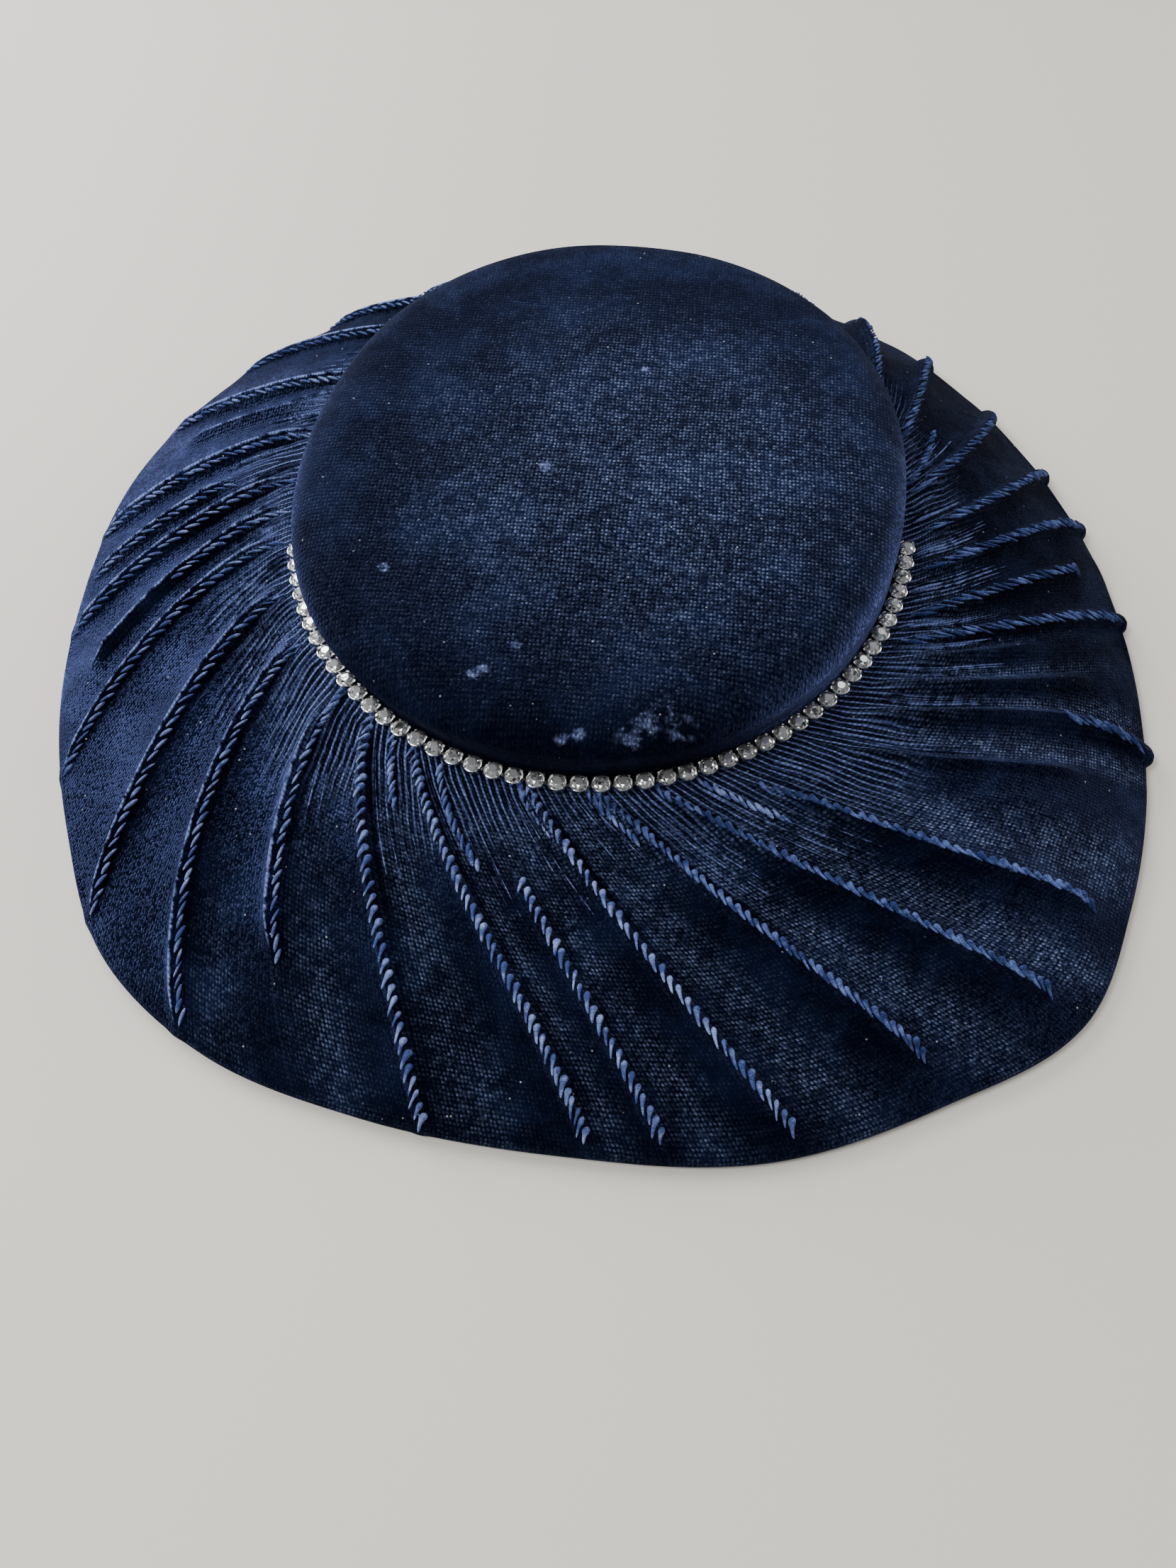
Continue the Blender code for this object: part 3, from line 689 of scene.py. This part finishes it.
def brim_row(share):
    """Azimuth, lift, bare crest (for its painted highlight), gather, place across the weave and weave shown (with
    painted light and shade) of each column of the brim at a share.
    """
    here = tuck_azimuth(tuck_values, share)
    following = np.append(here[1:], here[0] + 360.0)
    radius = brim_radius((here + following) / 2.0, share)
    width = np.radians(following - here) * radius
    rise = tuck_rise(tuck_values, share)
    next_rise = np.append(rise[1:], rise[0])
    half, roundness, line, line_width = (whipping_values[:, k:k + 1] for k in (7, 8, 6, 9))
    next_half, next_roundness, next_line, next_line_width = (
        np.roll(values, -1, axis=0) for values in (half, roundness, line, line_width))
    narrow = np.minimum(1.0, width / 13.0)[:, None]
    flank = np.array(FLANK_STEPS)[None, :] * half * narrow
    next_flank = np.array(FLANK_STEPS)[None, :] * next_half * narrow
    room = width[:, None] - flank[:, -1:] - next_flank[:, -1:]
    even = np.linspace(0.0, 1.0, PANEL_COLUMNS + 2)[None, 1:-1] * room
    number = np.arange(PANEL_COLUMNS)
    ribs = ((number // GATHER_COLUMNS + 0.5) * GATHER_COLUMNS / PANEL_COLUMNS)[None, :] * room
    ribs = ribs + (number % GATHER_COLUMNS - 1.0) * np.minimum(GATHER_HALF, room / 3.3 / PANEL_COLUMNS)
    panel = flank[:, -1:] + ribs + (even - ribs) * ease((share - 0.35) / 0.25)
    offset = np.concatenate([flank, panel, width[:, None] - next_flank[:, :0:-1]], axis=1)
    across = offset / width[:, None]
    azimuth = here[:, None] + np.degrees(offset / radius[:, None])
    far_offset = width[:, None] - offset
    near_side = rise[:, None] * ridge_shape(offset, half, roundness)
    far_side = next_rise[:, None] * ridge_shape(far_offset, next_half, next_roundness)
    ridge = np.maximum(near_side, far_side)
    crest = rise[:, None] * line * ridge_shape(offset, line_width, 1.0)
    crest = np.maximum(crest, next_rise[:, None] * next_line * ridge_shape(far_offset, next_line_width, 1.0))
    hold = rise[:, None] * (1.0 - across) + next_rise[:, None] * across
    hang = np.abs(2.0 * across - 1.0) ** 2.2 * HOLLOW_DEPTH - (HOLLOW_DEPTH - HOLLOW_AT_TUCK)
    lift = TUCK_HEIGHT * ridge + hang * hollow_share(share) * hold
    sunk = np.exp(-(((offset - SLOT_OFFSET) / SLOT_WIDTH) ** 2)) * ease((0.62 - share) / 0.25)
    sunk = tuck_values[:, 9:10] * rise[:, None] * sunk
    lift -= sunk
    gather = np.zeros_like(across)
    gather[:, len(FLANK_STEPS):len(FLANK_STEPS) + PANEL_COLUMNS] = gather_lift((here + following) / 2.0, share)
    lift += GATHER_HEIGHT * gather
    azimuth, lift = azimuth.ravel(), lift.ravel()
    for places, height, _ in SHORT_FOLDS:
        start, end = places[0][0], places[-1][0]
        fade = ease((share - start) / 0.05) * ease((end - share) / 0.08)
        away = np.abs((azimuth - fold_azimuth(places, share) + 180.0) % 360.0 - 180.0)
        away = np.radians(away) * brim_radius(azimuth, share)
        lift += 0.6 * height * fade * np.exp(-((away / 1.3) ** 2))
    # Where the weave shows: a painted lit band just past each tuck on the front, more beside the crown, less towards
    # the edge, and painted shade in the slot creases.
    front = ease((azimuth - 225.0) / 25.0) * ease((350.0 - azimuth) / 20.0)
    parted_and_lit = front * np.exp(-(((across.ravel() - 0.36) / 0.22) ** 2)) + 0.8 * ease((0.42 - share) / 0.25)
    parted_and_lit = parted_and_lit * ease((1.12 - share) / 0.25)
    parted_and_lit = np.minimum(0.07 + 0.93 * parted_and_lit, 1.0) * (1.0 - np.minimum(sunk.ravel() * 0.8, 1.0))
    return azimuth, lift, ridge.ravel(), crest.ravel(), gather.ravel(), offset.ravel() * MM, parted_and_lit


def brim_nap(azimuth):
    """The pile's lean: to the back and the right on the left and front, and to the front on the right."""
    turn = (azimuth + 20.0) % 360.0 - 20.0
    other = ease((turn - 325.0) / 20.0) + ease((150.0 - turn) / 30.0)
    other = np.minimum(other, 1.0)[:, None]
    return np.array(BRIM_NAP) * (1.0 - other) + np.array(RIGHT_NAP) * other


def brim_glow(azimuth):
    """How much painted sheen the turned pile takes: most on the left, where the light falls along it."""
    turn = (azimuth + 20.0) % 360.0 - 20.0
    return 0.22 + 0.78 * ease((turn - 125.0) / 55.0) * ease((250.0 - turn) / 35.0)


def fine_gather(azimuth, share):
    """How far the cloth is gathered into fine ribs beside the crown, further out in some places than in others."""
    turn = np.radians(azimuth)
    reach = 0.30 + 0.07 * np.sin(5.0 * turn) + 0.05 * np.sin(13.0 * turn + 1.0)
    return ease((share - 0.01) / 0.03) * ease((reach - share) / 0.22)


def make_brim():
    rings, values, gathered = [], [], []
    for share in np.linspace(0.0, 1.0, BRIM_TOP_ROWS) ** 1.12:
        azimuth, lift, ridge, crest, gather, across, parted_and_lit = brim_row(share)
        ring = brim_point(azimuth, share, lift)
        soft = 0.5 * unevenness(ring, 26.0) * ease(share / 0.3) * (1.0 - ridge)
        rings.append(brim_point(azimuth, share, lift + soft))
        values.append((crest, gather, across, np.full_like(across, share * BRIM_WIDTH * MM), parted_and_lit, azimuth))
        gathered.append(fine_gather(azimuth, share) * (1.0 - ridge))
    azimuth, lift, ridge, crest, gather, across, parted_and_lit = brim_row(1.0)
    for angle in ROLL_ANGLES:
        over = roll_over(angle)
        rings.append(roll_point(azimuth, angle, lift * over))
        round_edge = (BRIM_WIDTH + EDGE_ROLL * math.radians(EDGE_START - angle)) * MM
        values.append((crest * over, gather, across, np.full_like(across, round_edge), parted_and_lit, azimuth))
    for inset in (EDGE_ROLL, EDGE_ROLL + REST_FACE):
        rings.append(place(azimuth, brim_reach(azimuth) - inset, 0.0))
        along = np.full_like(across, (BRIM_WIDTH + 2.0 * inset) * MM)
        values.append((crest * 0.0, gather, across, along, parted_and_lit, azimuth))
    for share in np.linspace(0.93, 0.0, BRIM_UNDER_ROWS):
        azimuth, _, _, _, _, across, parted_and_lit = brim_row(share)
        rings.append(brim_point(azimuth, share, -CLOTH_THICKNESS))
        along = np.full_like(across, share * BRIM_WIDTH * MM)
        values.append((crest * 0.0, gather * 0.0, across, along, parted_and_lit, azimuth))
    piece = ring_mesh("brim_velvet", np.stack(rings), closed=True)
    crest, gather, across, along, parted_and_lit, azimuth = (np.concatenate(column) for column in zip(*values))
    keep_value(piece, "crest", crest)
    keep_value(piece, "gather", gather)
    gathered = np.concatenate(gathered)
    keep_value(piece, "gathered", np.concatenate([gathered, np.zeros(len(crest) - len(gathered))]))
    keep_weave(piece, across, along)
    lay_pile(piece, brim_nap(azimuth), parted_and_lit, brim_glow(azimuth))
    return piece


brim = make_brim()
# crest and gather carry a painted highlight on the tucks' crests and the gather ribs.
brim.data.materials.append(velvet("brim velvet", 0.00105, 0.00115, 1.25, 0.018, 0.72,
                                  [("crest", 2.0, CREST_HIGHLIGHT_BLUE), ("gather", 2.0, CREST_HIGHLIGHT_BLUE)]))
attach(brim, "root")
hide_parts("brim")

# Whipped tucks. Each tuck's crest is bound with slanted stitches that pull the velvet into a row of small
# comma-shaped lumps, like a thin rope. On the right side the ropes run over the wired edge and end in a knob.
# along: from the head to the tail; girth: share of the head's
LUMP_PROFILE = [(-0.97, 0.38), (-0.85, 0.78), (-0.66, 1.00), (-0.43, 0.92), (-0.18, 0.66), (0.12, 0.50), (0.45, 0.42),
                (0.74, 0.32), (0.94, 0.18)]
STRAND_PROFILE = [(-0.96, 0.30), (-0.80, 0.62), (-0.55, 0.90), (-0.25, 1.00), (0.05, 1.00), (0.35, 0.92), (0.62, 0.72),
                  (0.84, 0.48), (0.97, 0.22)]
LUMP_SIDES = 8
LUMP_BEND = 0.30
ROPE_STEP = 0.002
FOLD_WHIPPING = (2.40, 2.00, 0.60, 0.70, 28.0, 0.0)


def unit_lump(profile):
    """Along, across and up of one lump's points, bent to the side at both ends."""
    angle = np.arange(LUMP_SIDES) * 2.0 * math.pi / LUMP_SIDES
    rows = [np.stack([np.full(LUMP_SIDES, a), g * np.cos(angle) + LUMP_BEND * a * a, g * np.sin(angle)], -1)
            for a, g in profile]
    poles = np.array([[-1.0, LUMP_BEND, 0.0], [1.0, LUMP_BEND, 0.0]])
    return np.concatenate([*rows, poles])


def lump_faces():
    faces = []
    rings = len(LUMP_PROFILE)
    for row in range(rings - 1):
        for side in range(LUMP_SIDES):
            after = (side + 1) % LUMP_SIDES
            first, second = row * LUMP_SIDES, (row + 1) * LUMP_SIDES
            faces.append((first + side, first + after, second + after, second + side))
    start, end, last = rings * LUMP_SIDES, rings * LUMP_SIDES + 1, (rings - 1) * LUMP_SIDES
    for side in range(LUMP_SIDES):
        after = (side + 1) % LUMP_SIDES
        faces.append((start, after, side))
        faces.append((end, last + side, last + after))
    return faces


def path_points(azimuths, shares, offsets):
    """Points along a tuck's crest: on the brim up to its edge, and round the rolled edge past it."""
    points = []
    for azimuth, share, offset in zip(azimuths, shares, offsets):
        if share <= 1.0:
            points.append(brim_point(np.array([azimuth]), share, offset)[0])
        else:
            angle = EDGE_START - (share - 1.0) * 450.0
            points.append(roll_point(np.array([azimuth]), angle, offset * roll_over(angle))[0])
    return np.array(points)


def lumps_along(line, beside, whipping, size):
    """Lumps a pitch apart along a line of points on a tuck; beside: points next to them, to the larger azimuth."""
    pitch, half_length, half_width, half_height, slant = whipping[:5]
    steps = np.linalg.norm(np.diff(line, axis=0), axis=1)
    travel = np.concatenate([[0.0], np.cumsum(steps)])
    stations = np.arange(0.3 * pitch * MM, travel[-1], pitch * MM)
    middle, ahead, behind, next_to = (
        np.stack([np.interp(stations + shift, travel, points[:, k]) for k in range(3)], -1)
        for points, shift in ((line, 0.0), (line, 0.5 * MM), (line, -0.5 * MM), (beside, 0.0)))
    tangent = ahead - behind
    tangent /= np.linalg.norm(tangent, axis=1, keepdims=True)
    side = next_to - middle
    side -= (side * tangent).sum(1, keepdims=True) * tangent
    side /= np.linalg.norm(side, axis=1, keepdims=True)
    normal = np.cross(tangent, side)
    number = np.arange(len(stations))
    slant = np.radians(slant + 6.0 * np.sin(number * 4.3 + travel[-1] * 700.0))[:, None]
    middle = middle + side * (0.22 * MM * np.sin(number * 3.7 + travel[-1] * 500.0))[:, None]
    along = tangent * np.cos(slant) - side * np.sin(slant)
    across = side * np.cos(slant) + tangent * np.sin(slant)
    own = 1.0 + 0.20 * np.sin(number * 5.1 + travel[-1] * 900.0) + 0.10 * np.sin(number * 11.7)
    girth = (own * size * MM)[:, None, None]
    length = (half_length * (1.0 + 0.12 * np.sin(number * 2.9 + 1.0)) * MM)[:, None, None]
    unit = unit_lump(LUMP_PROFILE if half_width > 0.6 else STRAND_PROFILE)
    shape = middle[:, None, :] + unit[None, :, 0:1] * length * along[:, None, :]
    shape = shape + unit[None, :, 1:2] * girth * half_width * across[:, None, :]
    shape = shape + unit[None, :, 2:3] * girth * half_height * normal[:, None, :]
    shape[..., 2] = np.maximum(shape[..., 2], 0.0)
    weave = np.broadcast_to(unit[None, :, :2] * (half_length * MM, half_width * MM), (*shape.shape[:2], 2))
    return shape, weave + number[:, None, None] * 0.0137


def make_ropes(name, chosen, folds):
    """One piece of all the lumps of the chosen tucks and short folds."""
    groups = []
    for row in chosen:
        tuck = tuck_values[row]
        whipping = whipping_values[row].copy()
        whipping[0] *= 1.0 + 0.10 * math.sin(row * 2.1)
        if tuck[6] > tuck[7]:
            continue
        shares = np.arange(tuck[6], tuck[7] + ROPE_STEP, ROPE_STEP)
        inner_shares = np.minimum(shares, 1.0)
        rise = tuck_rise(tuck, inner_shares)
        radius = brim_radius(tuck_azimuth(tuck, inner_shares), inner_shares)
        lines = []
        for offset in (whipping[5], whipping[5] + 0.5):
            azimuths = tuck_azimuth(tuck, inner_shares) + np.degrees(offset / radius)
            height = TUCK_HEIGHT * rise * ridge_shape(offset, whipping[7], whipping[8])
            height += rise * HOLLOW_AT_TUCK * hollow_share(inner_shares) + 0.15
            lines.append(path_points(azimuths, shares, height))
        groups.append(lumps_along(*lines, whipping, 0.8 + 0.2 * tuck[5]))
    for places, height, whipped in folds:
        if not whipped:
            continue
        shares = np.arange(places[0][0] + 0.02, places[-1][0] - 0.01, ROPE_STEP)
        azimuths = fold_azimuth(places, shares)
        heights = np.full(len(shares), height * 0.6)
        lines = [path_points(azimuths + turn, shares, heights) for turn in (0.0, 0.3)]
        groups.append(lumps_along(*lines, FOLD_WHIPPING, 0.9))
    lumps, weave = (np.concatenate(group) for group in zip(*groups))
    pattern = np.array([face for face in lump_faces() if len(face) == 4])
    ends = np.array([face for face in lump_faces() if len(face) == 3])
    shift = (np.arange(len(lumps)) * lumps.shape[1])[:, None, None]
    faces = (pattern[None] + shift).reshape(-1, 4).tolist() + (ends[None] + shift).reshape(-1, 3).tolist()
    mesh = bpy.data.meshes.new(name)
    mesh.from_pydata(lumps.reshape(-1, 3).tolist(), [], faces)
    mesh.validate()
    mesh.shade_smooth()
    piece = bpy.data.objects.new(name, mesh)
    bpy.context.collection.objects.link(piece)
    keep_weave(piece, weave[..., 0], weave[..., 1])
    lay_pile(piece, BRIM_NAP, 1.0, 1.0)
    return piece


# Ground colours of the whipped tucks: brighter on the left and darker on the right, painted light and shade for light
# falling from the left.
LEFT_ROPE_LIT = ((0.0420, 0.0650, 0.2100, 1.0), (0.2600, 0.3300, 0.6400, 1.0))
RIGHT_ROPE_SHADED = ((0.0140, 0.0260, 0.1000, 1.0), (0.1200, 0.1700, 0.4200, 1.0))
for rope_name, rope_rows, rope_folds, rope_ground in (
    ("left_whipped_tucks", range(0, 14), SHORT_FOLDS[:9], LEFT_ROPE_LIT),
    ("right_whipped_tucks", range(14, len(TUCKS)), SHORT_FOLDS[9:], RIGHT_ROPE_SHADED),
):
    ropes = make_ropes(rope_name, rope_rows, rope_folds)
    ropes.data.materials.append(velvet(rope_name.replace("_", " "), 0.0006, 0.0011, 0.7, 0.005, 0.35, [], rope_ground))
    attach(ropes, "root")

# Rhinestone chain. Round clear stones stand in stamped silver cups, each held by four bent prongs and joined
# by short links. The chain lies in the crease round the front of the crown and is sewn down there.
STONES = 47
CHAIN_START = 191.4
CUP_ACROSS = 4.8
LINK_LENGTH = 0.8
CUP_SIDES = 16
CUP_PROFILE = [(1.50, 0.00), (2.15, 0.45), (2.46, 1.30), (2.56, 2.00), (2.34, 2.08), (2.06, 0.95), (1.30, 0.40)]
PRONG_PATH = [(2.40, 1.20), (2.54, 1.75), (2.56, 2.30), (2.32, 2.75), (1.88, 2.92)]
PRONG_HALF_WIDTH = 0.36
PRONG_THICKNESS = 0.26
LINK_HALF_WIDTH = 0.42
LINK_LOW = 0.55
LINK_HIGH = 1.05
# radius and height of each ring of a stone, its number of points, and its turn in steps of half a facet
STONE_RINGS = [(1.05, 3.10, 8, 1), (1.62, 2.68, 8, 0), (2.04, 2.04, 16, 0), (2.04, 1.86, 16, 0), (1.10, 1.00, 8, 0)]
STONE_TIP = 0.46
STONE_LEAN = -0.20
STONE_OUT = 0.16


def chain_stations():
    """Middle, direction along the chain and outward direction of each cup, a pitch apart."""
    outset = GAP + CUP_ACROSS / 2.0
    azimuth = CHAIN_START
    step = 0.02
    stations = []
    for _ in range(STONES):
        here = place(azimuth, head_loop(azimuth, outset), BASE_HEIGHT + GAP)
        along = place(azimuth + step, head_loop(azimuth + step, outset), BASE_HEIGHT + GAP) - here
        length = np.linalg.norm(along)
        along /= length
        stations.append((here, along, np.array([along[1], -along[0], 0.0])))
        azimuth += step * (CUP_ACROSS + LINK_LENGTH) * MM / length
    return stations


def set_down(points, station, lean=(0.0, 0.0)):
    """Points in millimetres (along, outward, up) put at a station of the chain, leaning a little."""
    middle, along, outward = station
    points = np.asarray(points, float)
    up = points[:, 2] + lean[0] * points[:, 0] + lean[1] * points[:, 1]
    return middle + (points[:, 0:1] * along + points[:, 1:2] * outward) * MM + up[:, None] * np.array([0, 0, MM])


def add_shape(mesh_points, mesh_faces, points, faces):
    shift = len(mesh_points)
    mesh_points.extend(points.tolist())
    mesh_faces.extend(tuple(index + shift for index in face) for face in faces)


def cup_shape():
    angle = np.arange(CUP_SIDES) * 2.0 * math.pi / CUP_SIDES
    rings = [np.stack([r * np.cos(angle), r * np.sin(angle), np.full(CUP_SIDES, z)], -1) for r, z in CUP_PROFILE]
    faces = []
    for row in range(len(rings) - 1):
        for side in range(CUP_SIDES):
            after = (side + 1) % CUP_SIDES
            first, second = row * CUP_SIDES, (row + 1) * CUP_SIDES
            faces.append((first + side, first + after, second + after, second + side))
    last = (len(rings) - 1) * CUP_SIDES
    faces.append(tuple(reversed(range(CUP_SIDES))))
    faces.append(tuple(range(last, last + CUP_SIDES)))
    return np.concatenate(rings), faces


def prong_shape(turn):
    """A thin strip bent over the stone's edge, at an angle round the cup."""
    rows = []
    count = len(PRONG_PATH)
    for i, (radius, height) in enumerate(PRONG_PATH):
        before, after = PRONG_PATH[max(i - 1, 0)], PRONG_PATH[min(i + 1, count - 1)]
        run, rise = after[0] - before[0], after[1] - before[1]
        length = math.hypot(run, rise)
        out, up = rise / length * PRONG_THICKNESS, -run / length * PRONG_THICKNESS
        half = PRONG_HALF_WIDTH * (1.0 - 0.35 * i / (count - 1))
        rows.append([(radius, -half, height), (radius + out, -half, height + up),
                     (radius + out, half, height + up), (radius, half, height)])
    points = np.array(rows).reshape(-1, 3)
    c, s = math.cos(turn), math.sin(turn)
    points = np.stack([points[:, 0] * c - points[:, 1] * s, points[:, 0] * s + points[:, 1] * c, points[:, 2]], -1)
    faces = [(3, 2, 1, 0), tuple(4 * (count - 1) + k for k in range(4))]
    for i in range(count - 1):
        for k in range(4):
            j = (k + 1) % 4
            faces.append((4 * i + k, 4 * i + j, 4 * i + 4 + j, 4 * i + 4 + k))
    return points, faces


def make_cups():
    points, faces = [], []
    cup_points, cup_faces = cup_shape()
    prongs = [prong_shape(math.radians(45.0 + 90.0 * k)) for k in range(4)]
    for station in chain_stations():
        add_shape(points, faces, set_down(cup_points, station), cup_faces)
        for prong_points, prong_faces in prongs:
            add_shape(points, faces, set_down(prong_points, station), prong_faces)
    stations = chain_stations()
    for station in stations[:-1]:
        start, end = CUP_ACROSS / 2.0 - 0.5, CUP_ACROSS / 2.0 + LINK_LENGTH + 0.5
        ring = [(-LINK_HALF_WIDTH, LINK_LOW), (LINK_HALF_WIDTH, LINK_LOW),
                (LINK_HALF_WIDTH, LINK_HIGH), (-LINK_HALF_WIDTH, LINK_HIGH)]
        corners = [(start, a, b) for a, b in ring] + [(end, a, b) for a, b in ring]
        box_faces = [(3, 2, 1, 0), (4, 5, 6, 7), (0, 1, 5, 4), (1, 2, 6, 5), (2, 3, 7, 6), (3, 0, 4, 7)]
        add_shape(points, faces, set_down(corners, station), box_faces)
    mesh = bpy.data.meshes.new("chain_cups")
    mesh.from_pydata(points, [], faces)
    mesh.validate()
    mesh.shade_smooth()
    mesh.set_sharp_from_angle(angle=math.radians(40))
    piece = bpy.data.objects.new("chain_cups", mesh)
    bpy.context.collection.objects.link(piece)
    return piece


def stone_shape():
    """A cut stone: table, eight main facets with smaller ones below, a thin girdle and a pointed back."""
    rings = []
    for radius, height, count, turn in STONE_RINGS:
        angle = np.arange(count) * 2.0 * math.pi / count + turn * math.pi / 8.0
        rings.append(np.stack([radius * np.cos(angle), radius * np.sin(angle), np.full(count, height)], -1))
    points = np.concatenate([*rings, [[0.0, 0.0, STONE_TIP]]])
    table, star, upper, lower, back, tip = 0, 8, 16, 32, 48, 56
    faces = [tuple(range(table, table + 8))]
    for i in range(8):
        j = (i + 1) % 8
        a, b, c = upper + 2 * i, upper + 2 * i + 1, upper + (2 * i + 2) % 16
        faces.append((table + i, star + i, star + j))
        faces.append((table + i, star + j, table + j))
        faces.append((star + i, a, b))
        faces.append((star + i, b, star + j))
        faces.append((star + j, b, c))
        d, e, f = a + 16, b + 16, c + 16
        faces.append((a, d, e, b))
        faces.append((b, e, f, c))
        faces.append((back + i, e, d))
        faces.append((back + i, back + j, e))
        faces.append((back + j, f, e))
        faces.append((tip, back + j, back + i))
    # A painted reflection for each facet: a made-up brightness between 0 and 1.
    painted_sparkles = [0.5 + 0.5 * math.sin(7.3 * number * number + 1.9 * number) for number in range(len(faces))]
    return points, faces, painted_sparkles


def make_stones():
    points, faces, painted_sparkles = [], [], []
    stone_points, stone_faces, stone_painted_sparkles = stone_shape()
    for number, station in enumerate(chain_stations()):
        turn = number * 2.4
        c, s = math.cos(turn), math.sin(turn)
        turned = np.stack([stone_points[:, 0] * c - stone_points[:, 1] * s,
                           stone_points[:, 0] * s + stone_points[:, 1] * c + STONE_OUT, stone_points[:, 2]], -1)
        lean = (0.07 * math.sin(number * 3.7), STONE_LEAN + 0.07 * math.sin(number * 2.3 + 1.0))
        add_shape(points, faces, set_down(turned, station, lean), stone_faces)
        painted_sparkles += [abs(math.sin(2.0 * shade + number * 0.9)) for shade in stone_painted_sparkles]
    mesh = bpy.data.meshes.new("chain_stones")
    mesh.from_pydata(points, [], faces)
    stored = mesh.attributes.new("facet", "FLOAT", "FACE")
    stored.data.foreach_set("value", painted_sparkles)
    piece = bpy.data.objects.new("chain_stones", mesh)
    bpy.context.collection.objects.link(piece)
    return piece


def make_silver():
    made = bpy.data.materials.new("stamped silver")
    made.use_nodes = True
    tree = made.node_tree
    shader = tree.nodes["Principled BSDF"]
    spot = add_node(tree, "ShaderNodeTexCoord").outputs["Object"]
    tarnish = add_node(tree, "ShaderNodeTexNoise", Vector=spot, Scale=420.0, Detail=4.0, Roughness=0.6)
    share = ramp(tree, tarnish.outputs[0], 0.52, 0.80)
    colour = mix_colours(tree, share, (0.93, 0.93, 0.91, 1.0), (0.36, 0.33, 0.28, 1.0))
    tree.links.new(colour, shader.inputs["Base Color"])
    shader.inputs["Metallic"].default_value = 1.0
    rough = math_node(tree, "MULTIPLY_ADD", share, 0.20, 0.24)
    tree.links.new(rough, shader.inputs["Roughness"])
    bump = add_node(tree, "ShaderNodeBump", Strength=0.3, Distance=0.0001, Height=tarnish.outputs[0])
    tree.links.new(bump.outputs["Normal"], shader.inputs["Normal"])
    return made


def make_glass():
    """Foiled glass with painted reflections: each facet's colour runs from dark grey to white by its stored facet
    value and fine cells, standing in for light thrown back from the foil behind it.
    """
    made = bpy.data.materials.new("foiled stone")
    made.use_nodes = True
    tree = made.node_tree
    shader = tree.nodes["Principled BSDF"]
    facet = add_node(tree, "ShaderNodeAttribute", {"attribute_name": "facet"}).outputs["Fac"]
    spot = add_node(tree, "ShaderNodeTexCoord").outputs["Object"]
    inner = add_node(tree, "ShaderNodeTexVoronoi", {"feature": "F1"}, Vector=spot, Scale=1100.0)
    inner = add_node(tree, "ShaderNodeSeparateColor", Color=inner.outputs["Color"]).outputs[0]
    share = math_node(tree, "MULTIPLY_ADD", inner, 0.45, math_node(tree, "MULTIPLY", facet, 0.75))
    colour = mix_colours(tree, ramp(tree, share, 0.16, 0.56), (0.07, 0.08, 0.08, 1.0), (1.00, 1.00, 1.00, 1.0))
    tree.links.new(colour, shader.inputs["Base Color"])
    shader.inputs["Metallic"].default_value = 0.80
    shader.inputs["Roughness"].default_value = 0.12
    shader.inputs["IOR"].default_value = 1.60
    shader.inputs["Coat Weight"].default_value = 0.6
    shader.inputs["Coat Roughness"].default_value = 0.03
    return made


cups = make_cups()
cups.data.materials.append(make_silver())
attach(cups, "root")
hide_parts("rhinestone_chain")
stones = make_stones()
stones.data.materials.append(make_glass())
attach(stones, "root")

# Studio. A plain pale floor, a broad soft light from behind on the left, as from a window, and one from the right.
FLOOR_SIZE = 12.0
LIGHTS = [
    ("window", (-0.95, 0.85, 0.80), (1.2, 0.9), 29.0, (0.93, 0.96, 1.0)),
    ("right", (1.25, 0.45, 0.70), (0.8, 0.7), 9.0, (1.0, 0.98, 0.95)),
    ("overhead", (0.1, 0.7, 1.7), (1.6, 1.0), 6.0, (1.0, 1.0, 1.0)),
    ("front", (-0.35, -1.25, 1.30), (0.8, 0.5), 7.0, (1.0, 1.0, 1.0)),
    ("lamp", (-0.80, -0.30, 1.30), (0.45, 0.45), 15.0, (1.0, 1.0, 1.0)),
]


def make_floor():
    half = FLOOR_SIZE / 2.0
    mesh = bpy.data.meshes.new("floor")
    mesh.from_pydata([(-half, -half, 0), (half, -half, 0), (half, half, 0), (-half, half, 0)], [], [(0, 1, 2, 3)])
    floor = bpy.data.objects.new("floor", mesh)
    bpy.context.collection.objects.link(floor)
    made = bpy.data.materials.new("pale floor")
    made.use_nodes = True
    tree = made.node_tree
    shader = tree.nodes["Principled BSDF"]
    shader.inputs["Base Color"].default_value = (0.74, 0.70, 0.62, 1.0)
    shader.inputs["Roughness"].default_value = 0.65
    floor.data.materials.append(made)
    return floor


def add_light(name, spot, size, power, colour):
    data = bpy.data.lights.new(name, "AREA")
    data.shape = "RECTANGLE"
    data.size, data.size_y = size
    data.energy = power
    data.color = colour
    light = bpy.data.objects.new(name, data)
    light.location = spot
    light.rotation_euler = (-Vector(spot)).to_track_quat("-Z", "Y").to_euler()
    bpy.context.collection.objects.link(light)


make_floor()
for light in LIGHTS:
    add_light(*light)
world = bpy.data.worlds.new("studio")
world.use_nodes = True
world.node_tree.nodes["Background"].inputs["Color"].default_value = (0.86, 0.90, 1.0, 1.0)
world.node_tree.nodes["Background"].inputs["Strength"].default_value = 0.13
bpy.context.scene.world = world
